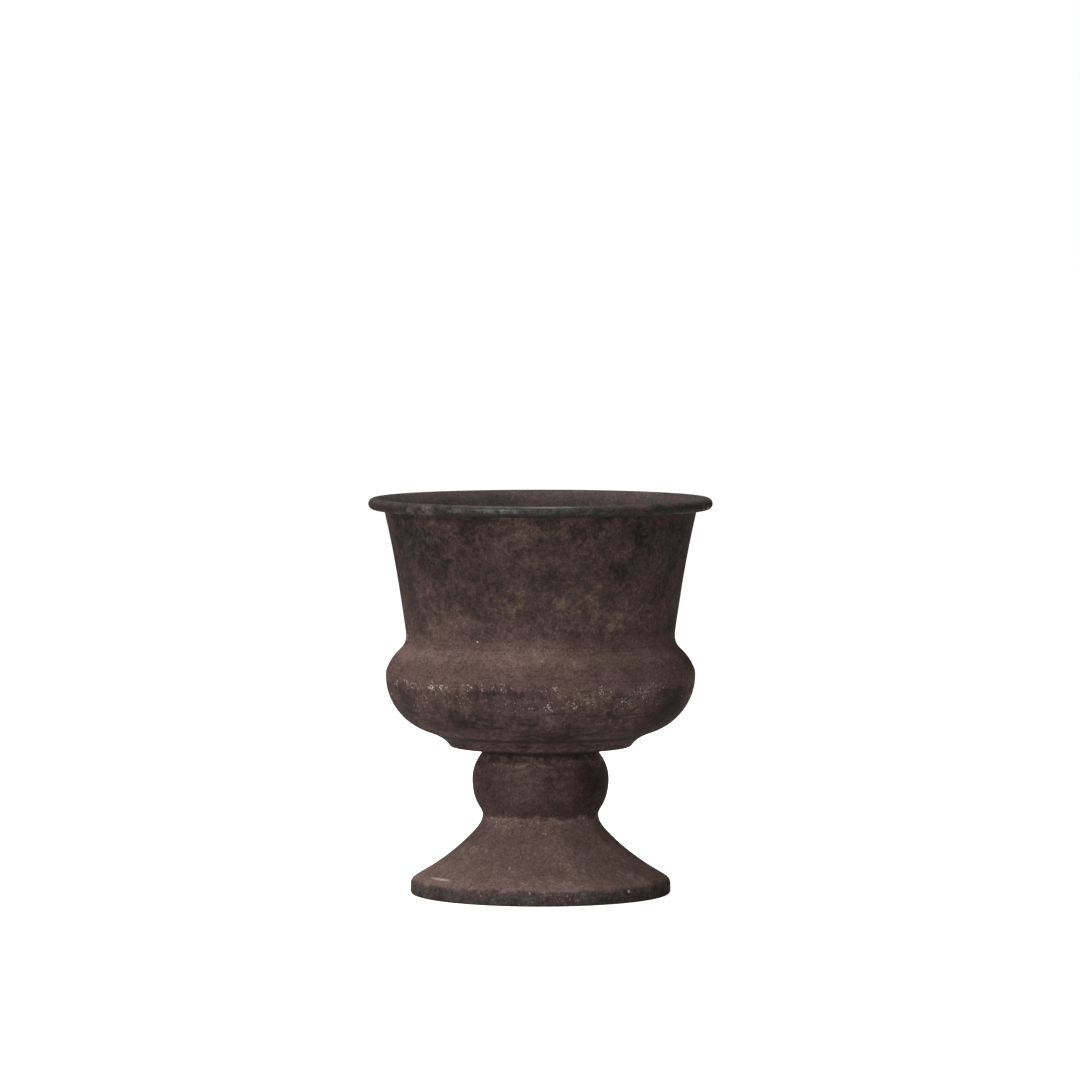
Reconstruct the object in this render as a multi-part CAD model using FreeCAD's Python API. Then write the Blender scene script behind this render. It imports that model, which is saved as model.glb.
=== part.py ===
"""Metal urn planter: a sheet-steel bowl with a wired rim, bolted to a hollow stem and foot.

Every shell is a turned sheet. Its outer face is an outline in the (radius, height) plane, given by stations
that each have a radius, a height and a heading, and two tangent arcs join each station to the next. The
inner face is that outline moved in by the sheet's thickness. Heights run up from the floor, the axis is +Z,
and all lengths are in millimetres.
"""

import FreeCAD
import Part

import math
import os

# Overall height, sheet and clearances
URN_HEIGHT = 300.0
SHEET = 1.2
WIRE_CLEARANCE = 0.15
LAP_CLEARANCE = 0.15
THREAD_CLEARANCE = 0.1
OVERRUN = 5.0

# Foot, from the floor up
FOOT_RADIUS = 98.55
FOOT_HEM_WIDTH = 9.0
FOOT_HEM_INNER_BEND = 0.8
FOOT_BAND_HEIGHT = 7.6
FOOT_SHOULDER_WIDTH = 8.25
FOOT_SHOULDER_RISE = 8.3
FOOT_SHOULDER_LEAN_DEG = 59.5
FOOT_FLARE_RISE = 31.6
FOOT_FLARE_LEAN_DEG = 43.0
FOOT_COVE_WIDTH = 6.2
FOOT_COVE_RISE = 12.5

# Stem knop, from the foot's neck up to the bowl
STEM_NECK_RADIUS = 44.0
KNOP_COVE_WIDTH = 2.1
KNOP_COVE_RISE = 5.4
KNOP_COVE_LEAN_DEG = 33.8
KNOP_OVERHANG = 7.8
KNOP_LOWER_RISE = 21.35
KNOP_UPPER_RISE = 18.95
KNOP_SHOULDER_STEP_IN = 6.5
KNOP_SHOULDER_LEAN_DEG = 36.5
COLLAR_COVE_WIDTH = 1.0
COLLAR_COVE_RISE = 3.0
COLLAR_HEIGHT = 3.0
COLLAR_INNER_BEND = 0.8
COLLAR_FLANGE_WIDTH = 14.3

# Bowl, from its floor up to the rim
BOWL_BASE_RADIUS = 69.05
BOWL_BASE_INNER_BEND = 1.0
BOWL_BASE_LEAN_DEG = 36.3
DISH_COVE_WIDTH = 16.35
DISH_COVE_RISE = 11.4
DISH_FLOOR_LEAN_DEG = 72.6
DISH_RISE = 43.3
BOWL_NECK_RADIUS = 101.85
BELLY_OVERHANG = 15.6
BELLY_UPPER_RISE = 29.0
SHOULDER_WIDTH_SHARE = 0.752
SHOULDER_DROP_SHARE = 0.634
SHOULDER_LEAN_DEG = 31.5
WALL_FOOT_WIDTH = 0.9
WALL_FOOT_RISE = 8.7
WALL_FOOT_LEAN_DEG = 7.9
WALL_FLARE = 15.15
WALL_TOP_LEAN_DEG = 13.2
RIM_WIRE_RADIUS = 3.0
RIM_CREASE_WIDTH = 3.7
RIM_CREASE_HEIGHT = 2.05
CURL_START_DEG = 125.0
CURL_WRAP_DEG = 285.0
CURL_STEPS = 3

# Lapped seam below the belly's widest line
SEAM_DROP = 15.0
SEAM_RAMP = 3.0

# Drain holes in the bowl's floor, inside the stem so that water leaves through the foot
DRAIN_COUNT = 4
DRAIN_RADIUS = 4.0
DRAIN_EDGE_MARGIN = 2.0
DRAIN_START_DEG = 45.0

# Weld beads inside the bowl's neck and the stem's neck
BOWL_BEAD_RADIUS = 2.0
STEM_BEAD_RADIUS = 2.4

# Bridge bar under the knop's top flange, with a fillet weld at each end
BRIDGE_END_CLEARANCE = 6.1
BRIDGE_WIDTH = 22.0
BRIDGE_THICKNESS = 3.0
BRIDGE_CORNER_RADIUS = 1.0
BRIDGE_WELD_LEG = 2.5
BRIDGE_WELD_WIDTH = 16.0

# Bolt, washers and nut
BOLT_RADIUS = 4.0
BOLT_HOLE_CLEARANCE = 0.5
BOLT_LENGTH = 20.0
BOLT_HEAD_FLATS = 13.0
BOLT_HEAD_HEIGHT = 5.3
THREAD_PITCH = 1.25
THREAD_DEPTH = 0.6
THREAD_LENGTH = 16.25
HEX_SIDES = 6
HEX_CHAMFER_DEG = 30.0
BOWL_WASHER_RADIUS = 15.0
BOWL_WASHER_THICKNESS = 2.0
NUT_WASHER_RADIUS = 8.0
NUT_WASHER_THICKNESS = 1.6
WASHER_BORE_CLEARANCE = 0.4
LOCK_WASHER_RADIUS = 7.0
LOCK_WASHER_THICKNESS = 2.0
LOCK_WASHER_GAP = 1.5
LOCK_WASHER_GAP_DEG = 30.0
NUT_FLATS = 13.0
NUT_HEIGHT = 6.5

# Radii and heights worked out from the sizes above
STEM_NECK_Z = FOOT_BAND_HEIGHT + FOOT_SHOULDER_RISE + FOOT_FLARE_RISE + FOOT_COVE_RISE
KNOP_Z = STEM_NECK_Z + KNOP_COVE_RISE + KNOP_LOWER_RISE
KNOP_RADIUS = STEM_NECK_RADIUS + KNOP_OVERHANG
KNOP_SHOULDER_Z = KNOP_Z + KNOP_UPPER_RISE
KNOP_SHOULDER_RADIUS = KNOP_RADIUS - KNOP_SHOULDER_STEP_IN
COLLAR_RADIUS = KNOP_SHOULDER_RADIUS - COLLAR_COVE_WIDTH
COLLAR_HOLE_RADIUS = COLLAR_RADIUS - COLLAR_FLANGE_WIDTH
BOWL_Z = KNOP_SHOULDER_Z + COLLAR_COVE_RISE + COLLAR_HEIGHT
BELLY_RADIUS = BOWL_NECK_RADIUS + BELLY_OVERHANG
BELLY_Z = BOWL_Z + DISH_COVE_RISE + DISH_RISE
BOWL_NECK_Z = BELLY_Z + BELLY_UPPER_RISE
CURL_INNER_RADIUS = RIM_WIRE_RADIUS + WIRE_CLEARANCE
CURL_RADIUS = CURL_INNER_RADIUS + SHEET
WIRE_Z = URN_HEIGHT - CURL_RADIUS
WALL_TOP_RADIUS = BOWL_NECK_RADIUS + WALL_FOOT_WIDTH + WALL_FLARE
WALL_TOP_Z = WIRE_Z - CURL_RADIUS - RIM_CREASE_HEIGHT
WIRE_RING_RADIUS = WALL_TOP_RADIUS + RIM_CREASE_WIDTH + CURL_RADIUS
RIM_RADIUS = WIRE_RING_RADIUS + CURL_RADIUS
SEAM_Z = BELLY_Z - SEAM_DROP
BOLT_HOLE_RADIUS = BOLT_RADIUS + BOLT_HOLE_CLEARANCE
DRAIN_CIRCLE_RADIUS = COLLAR_HOLE_RADIUS - DRAIN_EDGE_MARGIN - DRAIN_RADIUS
BRIDGE_REACH = COLLAR_RADIUS - SHEET - BRIDGE_END_CLEARANCE
BRIDGE_TOP_Z = BOWL_Z - SHEET
BRIDGE_BOTTOM_Z = BRIDGE_TOP_Z - BRIDGE_THICKNESS
BOWL_FLOOR_Z = BOWL_Z + SHEET
BOLT_HEAD_Z = BOWL_FLOOR_Z + BOWL_WASHER_THICKNESS
LOCK_WASHER_Z = BRIDGE_BOTTOM_Z - NUT_WASHER_THICKNESS
NUT_TOP_Z = LOCK_WASHER_Z - LOCK_WASHER_THICKNESS

# Headings in degrees from the outward radius, turning towards up
OUTWARD = 0.0
UP = 90.0
DOWN = -90.0
INWARD = 180.0

AXIS_POINT = FreeCAD.Vector(0, 0, 0)
AXIS = FreeCAD.Vector(0, 0, 1)
FULL_TURN = 360.0
TINY_SHARE = 1e-9


class Stretch:
    """One line or arc of an outline, in the (radius, height) plane. An arc is under half a turn."""

    def __init__(self, start, end, centre=None):
        self.start = start
        self.end = end
        self.centre = centre

    def turn(self):
        """+1 where the arc turns left, -1 where it turns right."""
        ax, az = self.start[0] - self.centre[0], self.start[1] - self.centre[1]
        bx, bz = self.end[0] - self.centre[0], self.end[1] - self.centre[1]
        return math.copysign(1, ax * bz - az * bx)

    def radius(self):
        """The arc's radius."""
        return math.dist(self.start, self.centre)

    def middle(self):
        """The point halfway along."""
        half = ((self.start[0] + self.end[0]) / 2, (self.start[1] + self.end[1]) / 2)
        if self.centre is None:
            return half
        scale = self.radius() / math.dist(half, self.centre)
        return tuple(c + (h - c) * scale for c, h in zip(self.centre, half))

    def moved_left(self, distance):
        """This stretch shifted square to itself, to the left of its direction."""
        if self.centre is None:
            length = math.dist(self.start, self.end)
            across = (-(self.end[1] - self.start[1]) / length, (self.end[0] - self.start[0]) / length)
            start = tuple(p + distance * a for p, a in zip(self.start, across))
            end = tuple(p + distance * a for p, a in zip(self.end, across))
            return Stretch(start, end)
        scale = (self.radius() - self.turn() * distance) / self.radius()
        start = tuple(c + (p - c) * scale for c, p in zip(self.centre, self.start))
        end = tuple(c + (p - c) * scale for c, p in zip(self.centre, self.end))
        return Stretch(start, end, self.centre)

    def reversed(self):
        """The same stretch, run from its end to its start."""
        return Stretch(self.end, self.start, self.centre)

    def edge(self):
        """The stretch as an edge in the XZ plane."""
        if self.centre is None:
            return Part.LineSegment(place(self.start), place(self.end)).toShape()
        return Part.Arc(place(self.start), place(self.middle()), place(self.end)).toShape()


def place(point):
    """A (radius, height) point in the XZ plane."""
    return FreeCAD.Vector(point[0], 0, point[1])


def direction(heading):
    """The unit vector of a heading in degrees."""
    return (math.cos(math.radians(heading)), math.sin(math.radians(heading)))


def dot(a, b):
    """The dot product of two plane vectors."""
    return a[0] * b[0] + a[1] * b[1]


def arc_or_line(start, along, end):
    """The arc that leaves start in the direction along and reaches end, or a line where it is straight."""
    chord = (end[0] - start[0], end[1] - start[1])
    left = (-along[1], along[0])
    sideways = dot(chord, left)
    if abs(sideways) < TINY_SHARE * math.hypot(*chord):
        return Stretch(start, end)
    reach = dot(chord, chord) / (2 * sideways)
    return Stretch(start, end, (start[0] + reach * left[0], start[1] + reach * left[1]))


def join(first, second):
    """The stretches from one station to the next: a line, or two arcs that meet with the same tangent."""
    start, end = first[:2], second[:2]
    leave, arrive = direction(first[2]), direction(second[2])
    chord = (end[0] - start[0], end[1] - start[1])
    if dot(chord, leave) > (1 - TINY_SHARE) * math.hypot(*chord) and dot(leave, arrive) > 1 - TINY_SHARE:
        return [Stretch(start, end)]
    both = (leave[0] + arrive[0], leave[1] + arrive[1])
    spread = 2 * (1 - dot(leave, arrive))
    if spread < TINY_SHARE:
        handle = dot(chord, chord) / (4 * dot(chord, arrive))
    else:
        along = dot(chord, both)
        handle = (math.sqrt(along * along + spread * dot(chord, chord)) - along) / spread
    middle = tuple((s + e + handle * (a - b)) / 2 for s, e, a, b in zip(start, end, leave, arrive))
    first_arc = arc_or_line(start, leave, middle)
    back = (-arrive[0], -arrive[1])
    return [first_arc, arc_or_line(end, back, middle).reversed()]


def outline(stations):
    """All stretches of an outline through its stations, each a (radius, height, heading)."""
    return [stretch for pair in zip(stations, stations[1:]) for stretch in join(*pair)]


def circle_station(centre, radius, angle, turning):
    """The station at an angle on a circle, heading round it: turning is +1 to the left, -1 to the right."""
    along = direction(angle)
    return (centre[0] + radius * along[0], centre[1] + radius * along[1], angle + turning * UP)


def moved_left(stretches, distance):
    """A whole outline moved to its left."""
    return [stretch.moved_left(distance) for stretch in stretches]


def polygon(points):
    """A flat face in the XZ plane with straight sides."""
    corners = [place(point) for point in points]
    return Part.Face(Part.makePolygon(corners + corners[:1]))


def strip(stretches, near, far):
    """The flat face between an outline moved left by near and the same outline moved left by far."""
    one = moved_left(stretches, near)
    other = [stretch.reversed() for stretch in reversed(moved_left(stretches, far))]
    edges = [stretch.edge() for stretch in one]
    edges.append(Stretch(one[-1].end, other[0].start).edge())
    edges += [stretch.edge() for stretch in other]
    edges.append(Stretch(other[-1].end, one[0].start).edge())
    return Part.Face(Part.Wire(edges))


def level_band(low, high):
    """A face from the axis to past the rim, between two heights."""
    far = RIM_RADIUS + OVERRUN
    return polygon([(0, low), (far, low), (far, high), (0, high)])


def turned(face):
    """The solid that a flat face sweeps in one turn about the axis."""
    return face.Faces[0].revolve(AXIS_POINT, AXIS, FULL_TURN)


def radius_at(stretches, height):
    """Where an outline crosses a height."""
    for stretch in stretches:
        low, high = sorted((stretch.start[1], stretch.end[1]))
        if not low <= height <= high or low == high:
            continue
        if stretch.centre is None:
            share = (height - stretch.start[1]) / (stretch.end[1] - stretch.start[1])
            return stretch.start[0] + share * (stretch.end[0] - stretch.start[0])
        half = math.sqrt(stretch.radius() ** 2 - (height - stretch.centre[1]) ** 2)
        return stretch.centre[0] + math.copysign(half, stretch.middle()[0] - stretch.centre[0])
    raise ValueError("the outline doesn't reach that height")


def bowl_outline():
    """The bowl's outer face: out along the floor, up the belly, neck and wall, and round the rim wire."""
    bend = BOWL_BASE_INNER_BEND + SHEET
    bend_angle = -BOWL_BASE_LEAN_DEG
    bend_centre = (BOWL_BASE_RADIUS - bend * direction(bend_angle)[0], BOWL_Z + bend)
    shoulder = (
        BOWL_NECK_RADIUS + SHOULDER_WIDTH_SHARE * BELLY_OVERHANG,
        BOWL_NECK_Z - SHOULDER_DROP_SHARE * BELLY_UPPER_RISE,
        UP + SHOULDER_LEAN_DEG,
    )
    wire_centre = (WIRE_RING_RADIUS, WIRE_Z)
    curl_angles = [CURL_START_DEG - step * CURL_WRAP_DEG / CURL_STEPS for step in range(CURL_STEPS + 1)]
    curl = [circle_station(wire_centre, CURL_INNER_RADIUS, angle, -1) for angle in curl_angles]
    return outline(
        [
            (BOLT_HOLE_RADIUS, BOWL_Z, OUTWARD),
            (bend_centre[0], BOWL_Z, OUTWARD),
            circle_station(bend_centre, bend, bend_angle, 1),
            (BOWL_BASE_RADIUS + DISH_COVE_WIDTH, BOWL_Z + DISH_COVE_RISE, UP - DISH_FLOOR_LEAN_DEG),
            (BELLY_RADIUS, BELLY_Z, UP),
            shoulder,
            (BOWL_NECK_RADIUS, BOWL_NECK_Z, UP),
            (BOWL_NECK_RADIUS + WALL_FOOT_WIDTH, BOWL_NECK_Z + WALL_FOOT_RISE, UP - WALL_FOOT_LEAN_DEG),
            (WALL_TOP_RADIUS, WALL_TOP_Z, UP - WALL_TOP_LEAN_DEG),
            *curl,
        ]
    )


def bowl_pieces():
    """The wall with its rolled rim and wire, the belly, the dish lapped inside it, and their welds."""
    outer = bowl_outline()
    whole = strip(outer, 0, SHEET)
    wall = whole.common(level_band(BOWL_NECK_Z, URN_HEIGHT + OVERRUN))
    belly = whole.common(level_band(SEAM_Z, BOWL_NECK_Z))
    ramp_z = SEAM_Z - SEAM_RAMP
    dish = whole.common(level_band(BOWL_Z - OVERRUN, ramp_z))
    lap_near = SHEET + LAP_CLEARANCE
    lap_far = lap_near + SHEET
    lap = strip(outer, lap_near, lap_far).common(level_band(SEAM_Z, BELLY_Z))
    inner, lap_outer, lap_inner = (moved_left(outer, shift) for shift in (SHEET, lap_near, lap_far))
    ramp = polygon(
        [
            (radius_at(inner, ramp_z), ramp_z),
            (radius_at(outer, ramp_z), ramp_z),
            (radius_at(lap_outer, SEAM_Z), SEAM_Z),
            (radius_at(lap_inner, SEAM_Z), SEAM_Z),
        ]
    )
    dish_solid = turned(dish).multiFuse([turned(ramp), turned(lap)]).removeSplitter()
    return {
        "bowl_wall": turned(wall),
        "bowl_belly": turned(belly),
        "bowl_dish": with_drain_holes(dish_solid),
        "bowl_neck_weld": inside_bead(BOWL_NECK_RADIUS, BOWL_NECK_Z, BOWL_BEAD_RADIUS, whole),
        "belly_seam_weld": turned(seam_fill(outer, lap_outer, ramp_z)),
        "rim_wire": Part.makeTorus(WIRE_RING_RADIUS, RIM_WIRE_RADIUS, place((0, WIRE_Z)), AXIS),
    }


def inside_bead(neck_radius, neck_z, bead_radius, sheets):
    """The round weld bead on the inner face of a neck, where the sheets above and below it meet."""
    rim = Part.makeCircle(bead_radius, place((neck_radius - SHEET, neck_z)), FreeCAD.Vector(0, 1, 0))
    bead = Part.Face(Part.Wire(rim)).cut(sheets)
    return turned(min(bead.Faces, key=lambda face: face.CenterOfMass.x))


def seam_fill(outer, lap_outer, ramp_z):
    """The weld that fills the groove between the upper shell's edge and the dish's ramp, flush outside."""
    low = (radius_at(outer, ramp_z), ramp_z)
    high = (radius_at(outer, SEAM_Z), SEAM_Z)
    middle_z = (ramp_z + SEAM_Z) / 2
    root = (radius_at(lap_outer, SEAM_Z), SEAM_Z)
    face_arc = Part.Arc(place(low), place((radius_at(outer, middle_z), middle_z)), place(high)).toShape()
    return Part.Face(Part.Wire([face_arc, Stretch(high, root).edge(), Stretch(root, low).edge()]))


def with_drain_holes(dish):
    """The dish with its drain holes, spaced evenly round the bolt."""
    for index in range(DRAIN_COUNT):
        along = direction(DRAIN_START_DEG + index * FULL_TURN / DRAIN_COUNT)
        centre = [DRAIN_CIRCLE_RADIUS * share for share in along]
        below = FreeCAD.Vector(*centre, BOWL_Z - OVERRUN)
        dish = dish.cut(Part.makeCylinder(DRAIN_RADIUS, SHEET + 2 * OVERRUN, below, AXIS))
    return dish.Solids[0]


def knop_outline():
    """The knop's outer face: out along its flange, down the collar, round the swelling, in to the neck."""
    bend = COLLAR_INNER_BEND + SHEET
    return outline(
        [
            (COLLAR_HOLE_RADIUS, BOWL_Z, OUTWARD),
            (COLLAR_RADIUS - bend, BOWL_Z, OUTWARD),
            (COLLAR_RADIUS, BOWL_Z - bend, DOWN),
            (COLLAR_RADIUS, BOWL_Z - COLLAR_HEIGHT, DOWN),
            (KNOP_SHOULDER_RADIUS, KNOP_SHOULDER_Z, DOWN + KNOP_SHOULDER_LEAN_DEG),
            (KNOP_RADIUS, KNOP_Z, DOWN),
            (STEM_NECK_RADIUS + KNOP_COVE_WIDTH, STEM_NECK_Z + KNOP_COVE_RISE, DOWN - KNOP_COVE_LEAN_DEG),
            (STEM_NECK_RADIUS, STEM_NECK_Z, DOWN),
        ]
    )


def foot_outline():
    """The foot's outer face: down from the neck, out along the flare, down the band and in under the hem."""
    bend = FOOT_HEM_INNER_BEND + SHEET
    shoulder_z = FOOT_BAND_HEIGHT + FOOT_SHOULDER_RISE
    flare_z = shoulder_z + FOOT_FLARE_RISE
    return outline(
        [
            (STEM_NECK_RADIUS, STEM_NECK_Z, DOWN),
            (STEM_NECK_RADIUS + FOOT_COVE_WIDTH, flare_z, DOWN + FOOT_FLARE_LEAN_DEG),
            (FOOT_RADIUS - FOOT_SHOULDER_WIDTH, shoulder_z, DOWN + FOOT_SHOULDER_LEAN_DEG),
            (FOOT_RADIUS, FOOT_BAND_HEIGHT, DOWN),
            (FOOT_RADIUS, bend, DOWN),
            (FOOT_RADIUS - bend, 0, INWARD),
            (FOOT_RADIUS - FOOT_HEM_WIDTH, 0, INWARD),
        ]
    )


def pedestal_pieces():
    """The knop, the foot and the bead that joins them inside the neck."""
    knop = strip(knop_outline(), 0, -SHEET)
    foot = strip(foot_outline(), 0, -SHEET)
    return {
        "stem_knop": turned(knop),
        "foot_flare": turned(foot),
        "stem_neck_weld": inside_bead(STEM_NECK_RADIUS, STEM_NECK_Z, STEM_BEAD_RADIUS, knop.fuse(foot)),
    }


def bridge_pieces():
    """The bar under the knop's top flange that takes the bolt, and the fillet welds at its two ends."""
    corner = FreeCAD.Vector(-BRIDGE_REACH, -BRIDGE_WIDTH / 2, BRIDGE_BOTTOM_Z)
    bar = Part.makeBox(2 * BRIDGE_REACH, BRIDGE_WIDTH, BRIDGE_THICKNESS, corner)
    upright = [edge for edge in bar.Edges if abs(edge.tangentAt(edge.FirstParameter).z) > 1 - TINY_SHARE]
    bar = bar.makeFillet(BRIDGE_CORNER_RADIUS, upright)
    bar = bar.cut(bolt_hole(BOLT_HOLE_RADIUS, BRIDGE_BOTTOM_Z, BRIDGE_THICKNESS))
    welds = [bridge_weld(side) for side in (-1, 1)]
    return {"stem_bridge": bar.Solids[0], "bridge_welds": Part.makeCompound(welds)}


def bridge_weld(side):
    """A fillet weld between one end of the bar and the flange above it."""
    inner = side * BRIDGE_REACH
    outer = inner + side * BRIDGE_WELD_LEG
    corners = [(inner, BRIDGE_TOP_Z), (outer, BRIDGE_TOP_Z), (inner, BRIDGE_TOP_Z - BRIDGE_WELD_LEG)]
    face = polygon(corners)
    face.translate(FreeCAD.Vector(0, -BRIDGE_WELD_WIDTH / 2, 0))
    return face.extrude(FreeCAD.Vector(0, BRIDGE_WELD_WIDTH, 0))


def bolt_hole(radius, low, height):
    """A cylinder on the axis that overruns a plate on both sides."""
    return Part.makeCylinder(radius, height + 2 * OVERRUN, place((0, low - OVERRUN)), AXIS)


def ring(outer, inner, low, height):
    """A flat washer's solid."""
    blank = Part.makeCylinder(outer, height, place((0, low)), AXIS)
    return blank.cut(bolt_hole(inner, low, height)).Solids[0]


def hexagon(flats, low, height):
    """A hexagonal block with its corners turned off at both ends."""
    corner_radius = flats / 2 / math.cos(math.pi / HEX_SIDES)
    corners = [direction(step * FULL_TURN / HEX_SIDES) for step in range(HEX_SIDES)]
    points = [FreeCAD.Vector(corner_radius * c[0], corner_radius * c[1], low) for c in corners]
    block = Part.Face(Part.makePolygon(points + points[:1])).extrude(FreeCAD.Vector(0, 0, height))
    drop = (corner_radius - flats / 2) * math.tan(math.radians(HEX_CHAMFER_DEG))
    turned_blank = polygon(
        [
            (0, low),
            (flats / 2, low),
            (corner_radius, low + drop),
            (corner_radius, low + height - drop),
            (flats / 2, low + height),
            (0, low + height),
        ]
    )
    return block.common(turned(turned_blank)).Solids[0]


def bolt():
    """A hexagon bolt, head up, with its thread cut as a row of V grooves up from the tip."""
    tip = BOLT_HEAD_Z - BOLT_LENGTH
    points = [(0, BOLT_HEAD_Z), (0, tip), (BOLT_RADIUS - THREAD_DEPTH, tip)]
    ridges = round(THREAD_LENGTH / THREAD_PITCH)
    for ridge in range(ridges):
        groove = tip + (ridge + 1) * THREAD_PITCH
        points.append((BOLT_RADIUS, groove - THREAD_PITCH / 2))
        points.append((BOLT_RADIUS - THREAD_DEPTH, groove))
    points.append((BOLT_RADIUS, tip + ridges * THREAD_PITCH + THREAD_PITCH / 2))
    points.append((BOLT_RADIUS, BOLT_HEAD_Z))
    shank = turned(polygon(points))
    return hexagon(BOLT_HEAD_FLATS, BOLT_HEAD_Z, BOLT_HEAD_HEIGHT).fuse(shank).removeSplitter().Solids[0]


def lock_washer(bore):
    """A spring washer: a flat ring with one slanting gap."""
    low = LOCK_WASHER_Z - LOCK_WASHER_THICKNESS
    washer = ring(LOCK_WASHER_RADIUS, bore, low, LOCK_WASHER_THICKNESS)
    reach = LOCK_WASHER_RADIUS + OVERRUN
    tall = LOCK_WASHER_THICKNESS + 2 * OVERRUN
    cutter = Part.makeBox(reach, LOCK_WASHER_GAP, tall, FreeCAD.Vector(0, -LOCK_WASHER_GAP / 2, -tall / 2))
    cutter.rotate(AXIS_POINT, FreeCAD.Vector(1, 0, 0), LOCK_WASHER_GAP_DEG)
    cutter.translate(FreeCAD.Vector(0, 0, low + LOCK_WASHER_THICKNESS / 2))
    return washer.cut(cutter).Solids[0]


def fasteners():
    """The bolt, its washers and its nut, which clamp the bowl to the bridge."""
    bore = BOLT_RADIUS + WASHER_BORE_CLEARANCE
    nut_bore = BOLT_RADIUS + THREAD_CLEARANCE
    nut_low = NUT_TOP_Z - NUT_HEIGHT
    nut = hexagon(NUT_FLATS, nut_low, NUT_HEIGHT).cut(bolt_hole(nut_bore, nut_low, NUT_HEIGHT))
    return {
        "centre_bolt": bolt(),
        "bowl_washer": ring(BOWL_WASHER_RADIUS, bore, BOWL_FLOOR_Z, BOWL_WASHER_THICKNESS),
        "nut_washer": ring(NUT_WASHER_RADIUS, bore, LOCK_WASHER_Z, NUT_WASHER_THICKNESS),
        "lock_washer": lock_washer(bore),
        "centre_nut": nut.Solids[0],
    }


def main():
    """Builds every piece and writes it to its own file."""
    os.makedirs("parts", exist_ok=True)
    pieces = {**bowl_pieces(), **pedestal_pieces(), **bridge_pieces(), **fasteners()}
    for name, shape in pieces.items():
        shape.exportStep(os.path.join("parts", name + ".step"))
        print(name, "solids", len(shape.Solids), "valid", shape.isValid(), "volume", round(shape.Volume, 1))
    print("rim diameter", round(2 * RIM_RADIUS, 2), "height", round(URN_HEIGHT, 2))


main()
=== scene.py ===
"""Aged metal urn planter: the looks of the spun sheet-metal urn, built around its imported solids."""

import math
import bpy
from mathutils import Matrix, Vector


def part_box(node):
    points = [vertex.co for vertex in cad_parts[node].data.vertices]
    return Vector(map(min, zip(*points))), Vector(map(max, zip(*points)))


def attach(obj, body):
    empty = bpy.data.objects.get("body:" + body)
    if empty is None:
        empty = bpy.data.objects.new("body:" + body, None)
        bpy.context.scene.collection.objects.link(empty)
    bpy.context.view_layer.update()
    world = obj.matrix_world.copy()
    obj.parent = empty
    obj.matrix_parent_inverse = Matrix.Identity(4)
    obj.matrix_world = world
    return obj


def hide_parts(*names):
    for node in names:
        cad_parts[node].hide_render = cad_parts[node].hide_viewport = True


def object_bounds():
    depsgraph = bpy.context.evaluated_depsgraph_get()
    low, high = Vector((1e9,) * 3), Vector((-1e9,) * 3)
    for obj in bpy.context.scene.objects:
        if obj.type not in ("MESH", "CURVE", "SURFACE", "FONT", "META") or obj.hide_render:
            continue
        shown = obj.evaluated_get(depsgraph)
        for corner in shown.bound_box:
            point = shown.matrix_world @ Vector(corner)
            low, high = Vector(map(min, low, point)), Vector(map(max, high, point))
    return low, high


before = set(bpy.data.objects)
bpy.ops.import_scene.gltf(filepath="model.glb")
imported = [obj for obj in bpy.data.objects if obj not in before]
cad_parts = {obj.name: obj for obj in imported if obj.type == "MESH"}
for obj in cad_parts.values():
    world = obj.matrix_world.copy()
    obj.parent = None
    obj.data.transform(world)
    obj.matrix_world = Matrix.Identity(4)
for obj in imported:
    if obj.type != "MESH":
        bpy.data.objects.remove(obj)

from types import SimpleNamespace

import bmesh
import bpy
from bpy.props import FloatProperty, FloatVectorProperty, IntProperty, PointerProperty
from mathutils import Vector

bl_info = {
    "name": "Aged Urn Planter",
    "version": (1, 0, 0),
    "blender": (4, 5, 0),
    "location": "View3D > Sidebar > Urn",
    "description": "Spins the urn's shells from their sections, crusts and paints them, and sets the stage",
    "category": "Object",
}

CAD_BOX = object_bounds()
BODY = "root"
SHELLS = ("bowl_wall", "bowl_belly", "bowl_dish", "stem_knop", "foot_flare")
BOWL_SHELLS = SHELLS[:3]
FASTENERS = ("centre_bolt", "bowl_washer", "nut_washer", "lock_washer", "centre_nut")

# Heights and radii of the solids, in metres
RIM_LOW, RIM_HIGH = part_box("rim_wire")
RIM_Z = (RIM_HIGH.z + RIM_LOW.z) / 2
RIM_RADIUS = RIM_HIGH.x - (RIM_HIGH.z - RIM_LOW.z) / 2
BEAD_RADIUS = CAD_BOX[1].z - RIM_Z
NECK_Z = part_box("bowl_wall")[0].z
BELLY_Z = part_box("bowl_dish")[1].z
BELLY_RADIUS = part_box("bowl_belly")[1].x
SEAM_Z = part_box("bowl_belly")[0].z
BASE_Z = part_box("bowl_dish")[0].z
COVE_Z = BASE_Z + 0.0096  # the cove round the dish
STEM_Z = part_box("stem_knop")[0].z
FLARE_Z = 0.012  # where the foot's flare leaves its band
FOOT_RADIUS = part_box("foot_flare")[1].x

MERGE_DISTANCE = 1e-6
UP_SHARE = 0.4  # how much a lean upward counts when a face is asked whether it looks into the bowl
LEVEL = (1.0, 1.0, 0.0)  # keeps the level part of a vector
EVEN = (1.0, 1.0, 1.0)
FULL_TURN = 6.283
DRILL_SIDES = 48
NECK_RIPPLES, STEM_RIPPLES = 90.0, 45.0  # ripples in one turn of each weld bead
CHIP_LEAST, CHIP_MOST = (0.25, 0.25, 0.12), (1.0, 0.8, 0.35)  # shares of the chip size
NOISE_TOP, NOISE_SPAN, NOISE_MIDDLE = 0.75, 0.5, 0.5  # nearly all noise lies in this span below this top


# Node trees

SHAPE, MASK = {"Geometry": "Geometry"}, {"Mask": "Float"}  # outputs with their types


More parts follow.
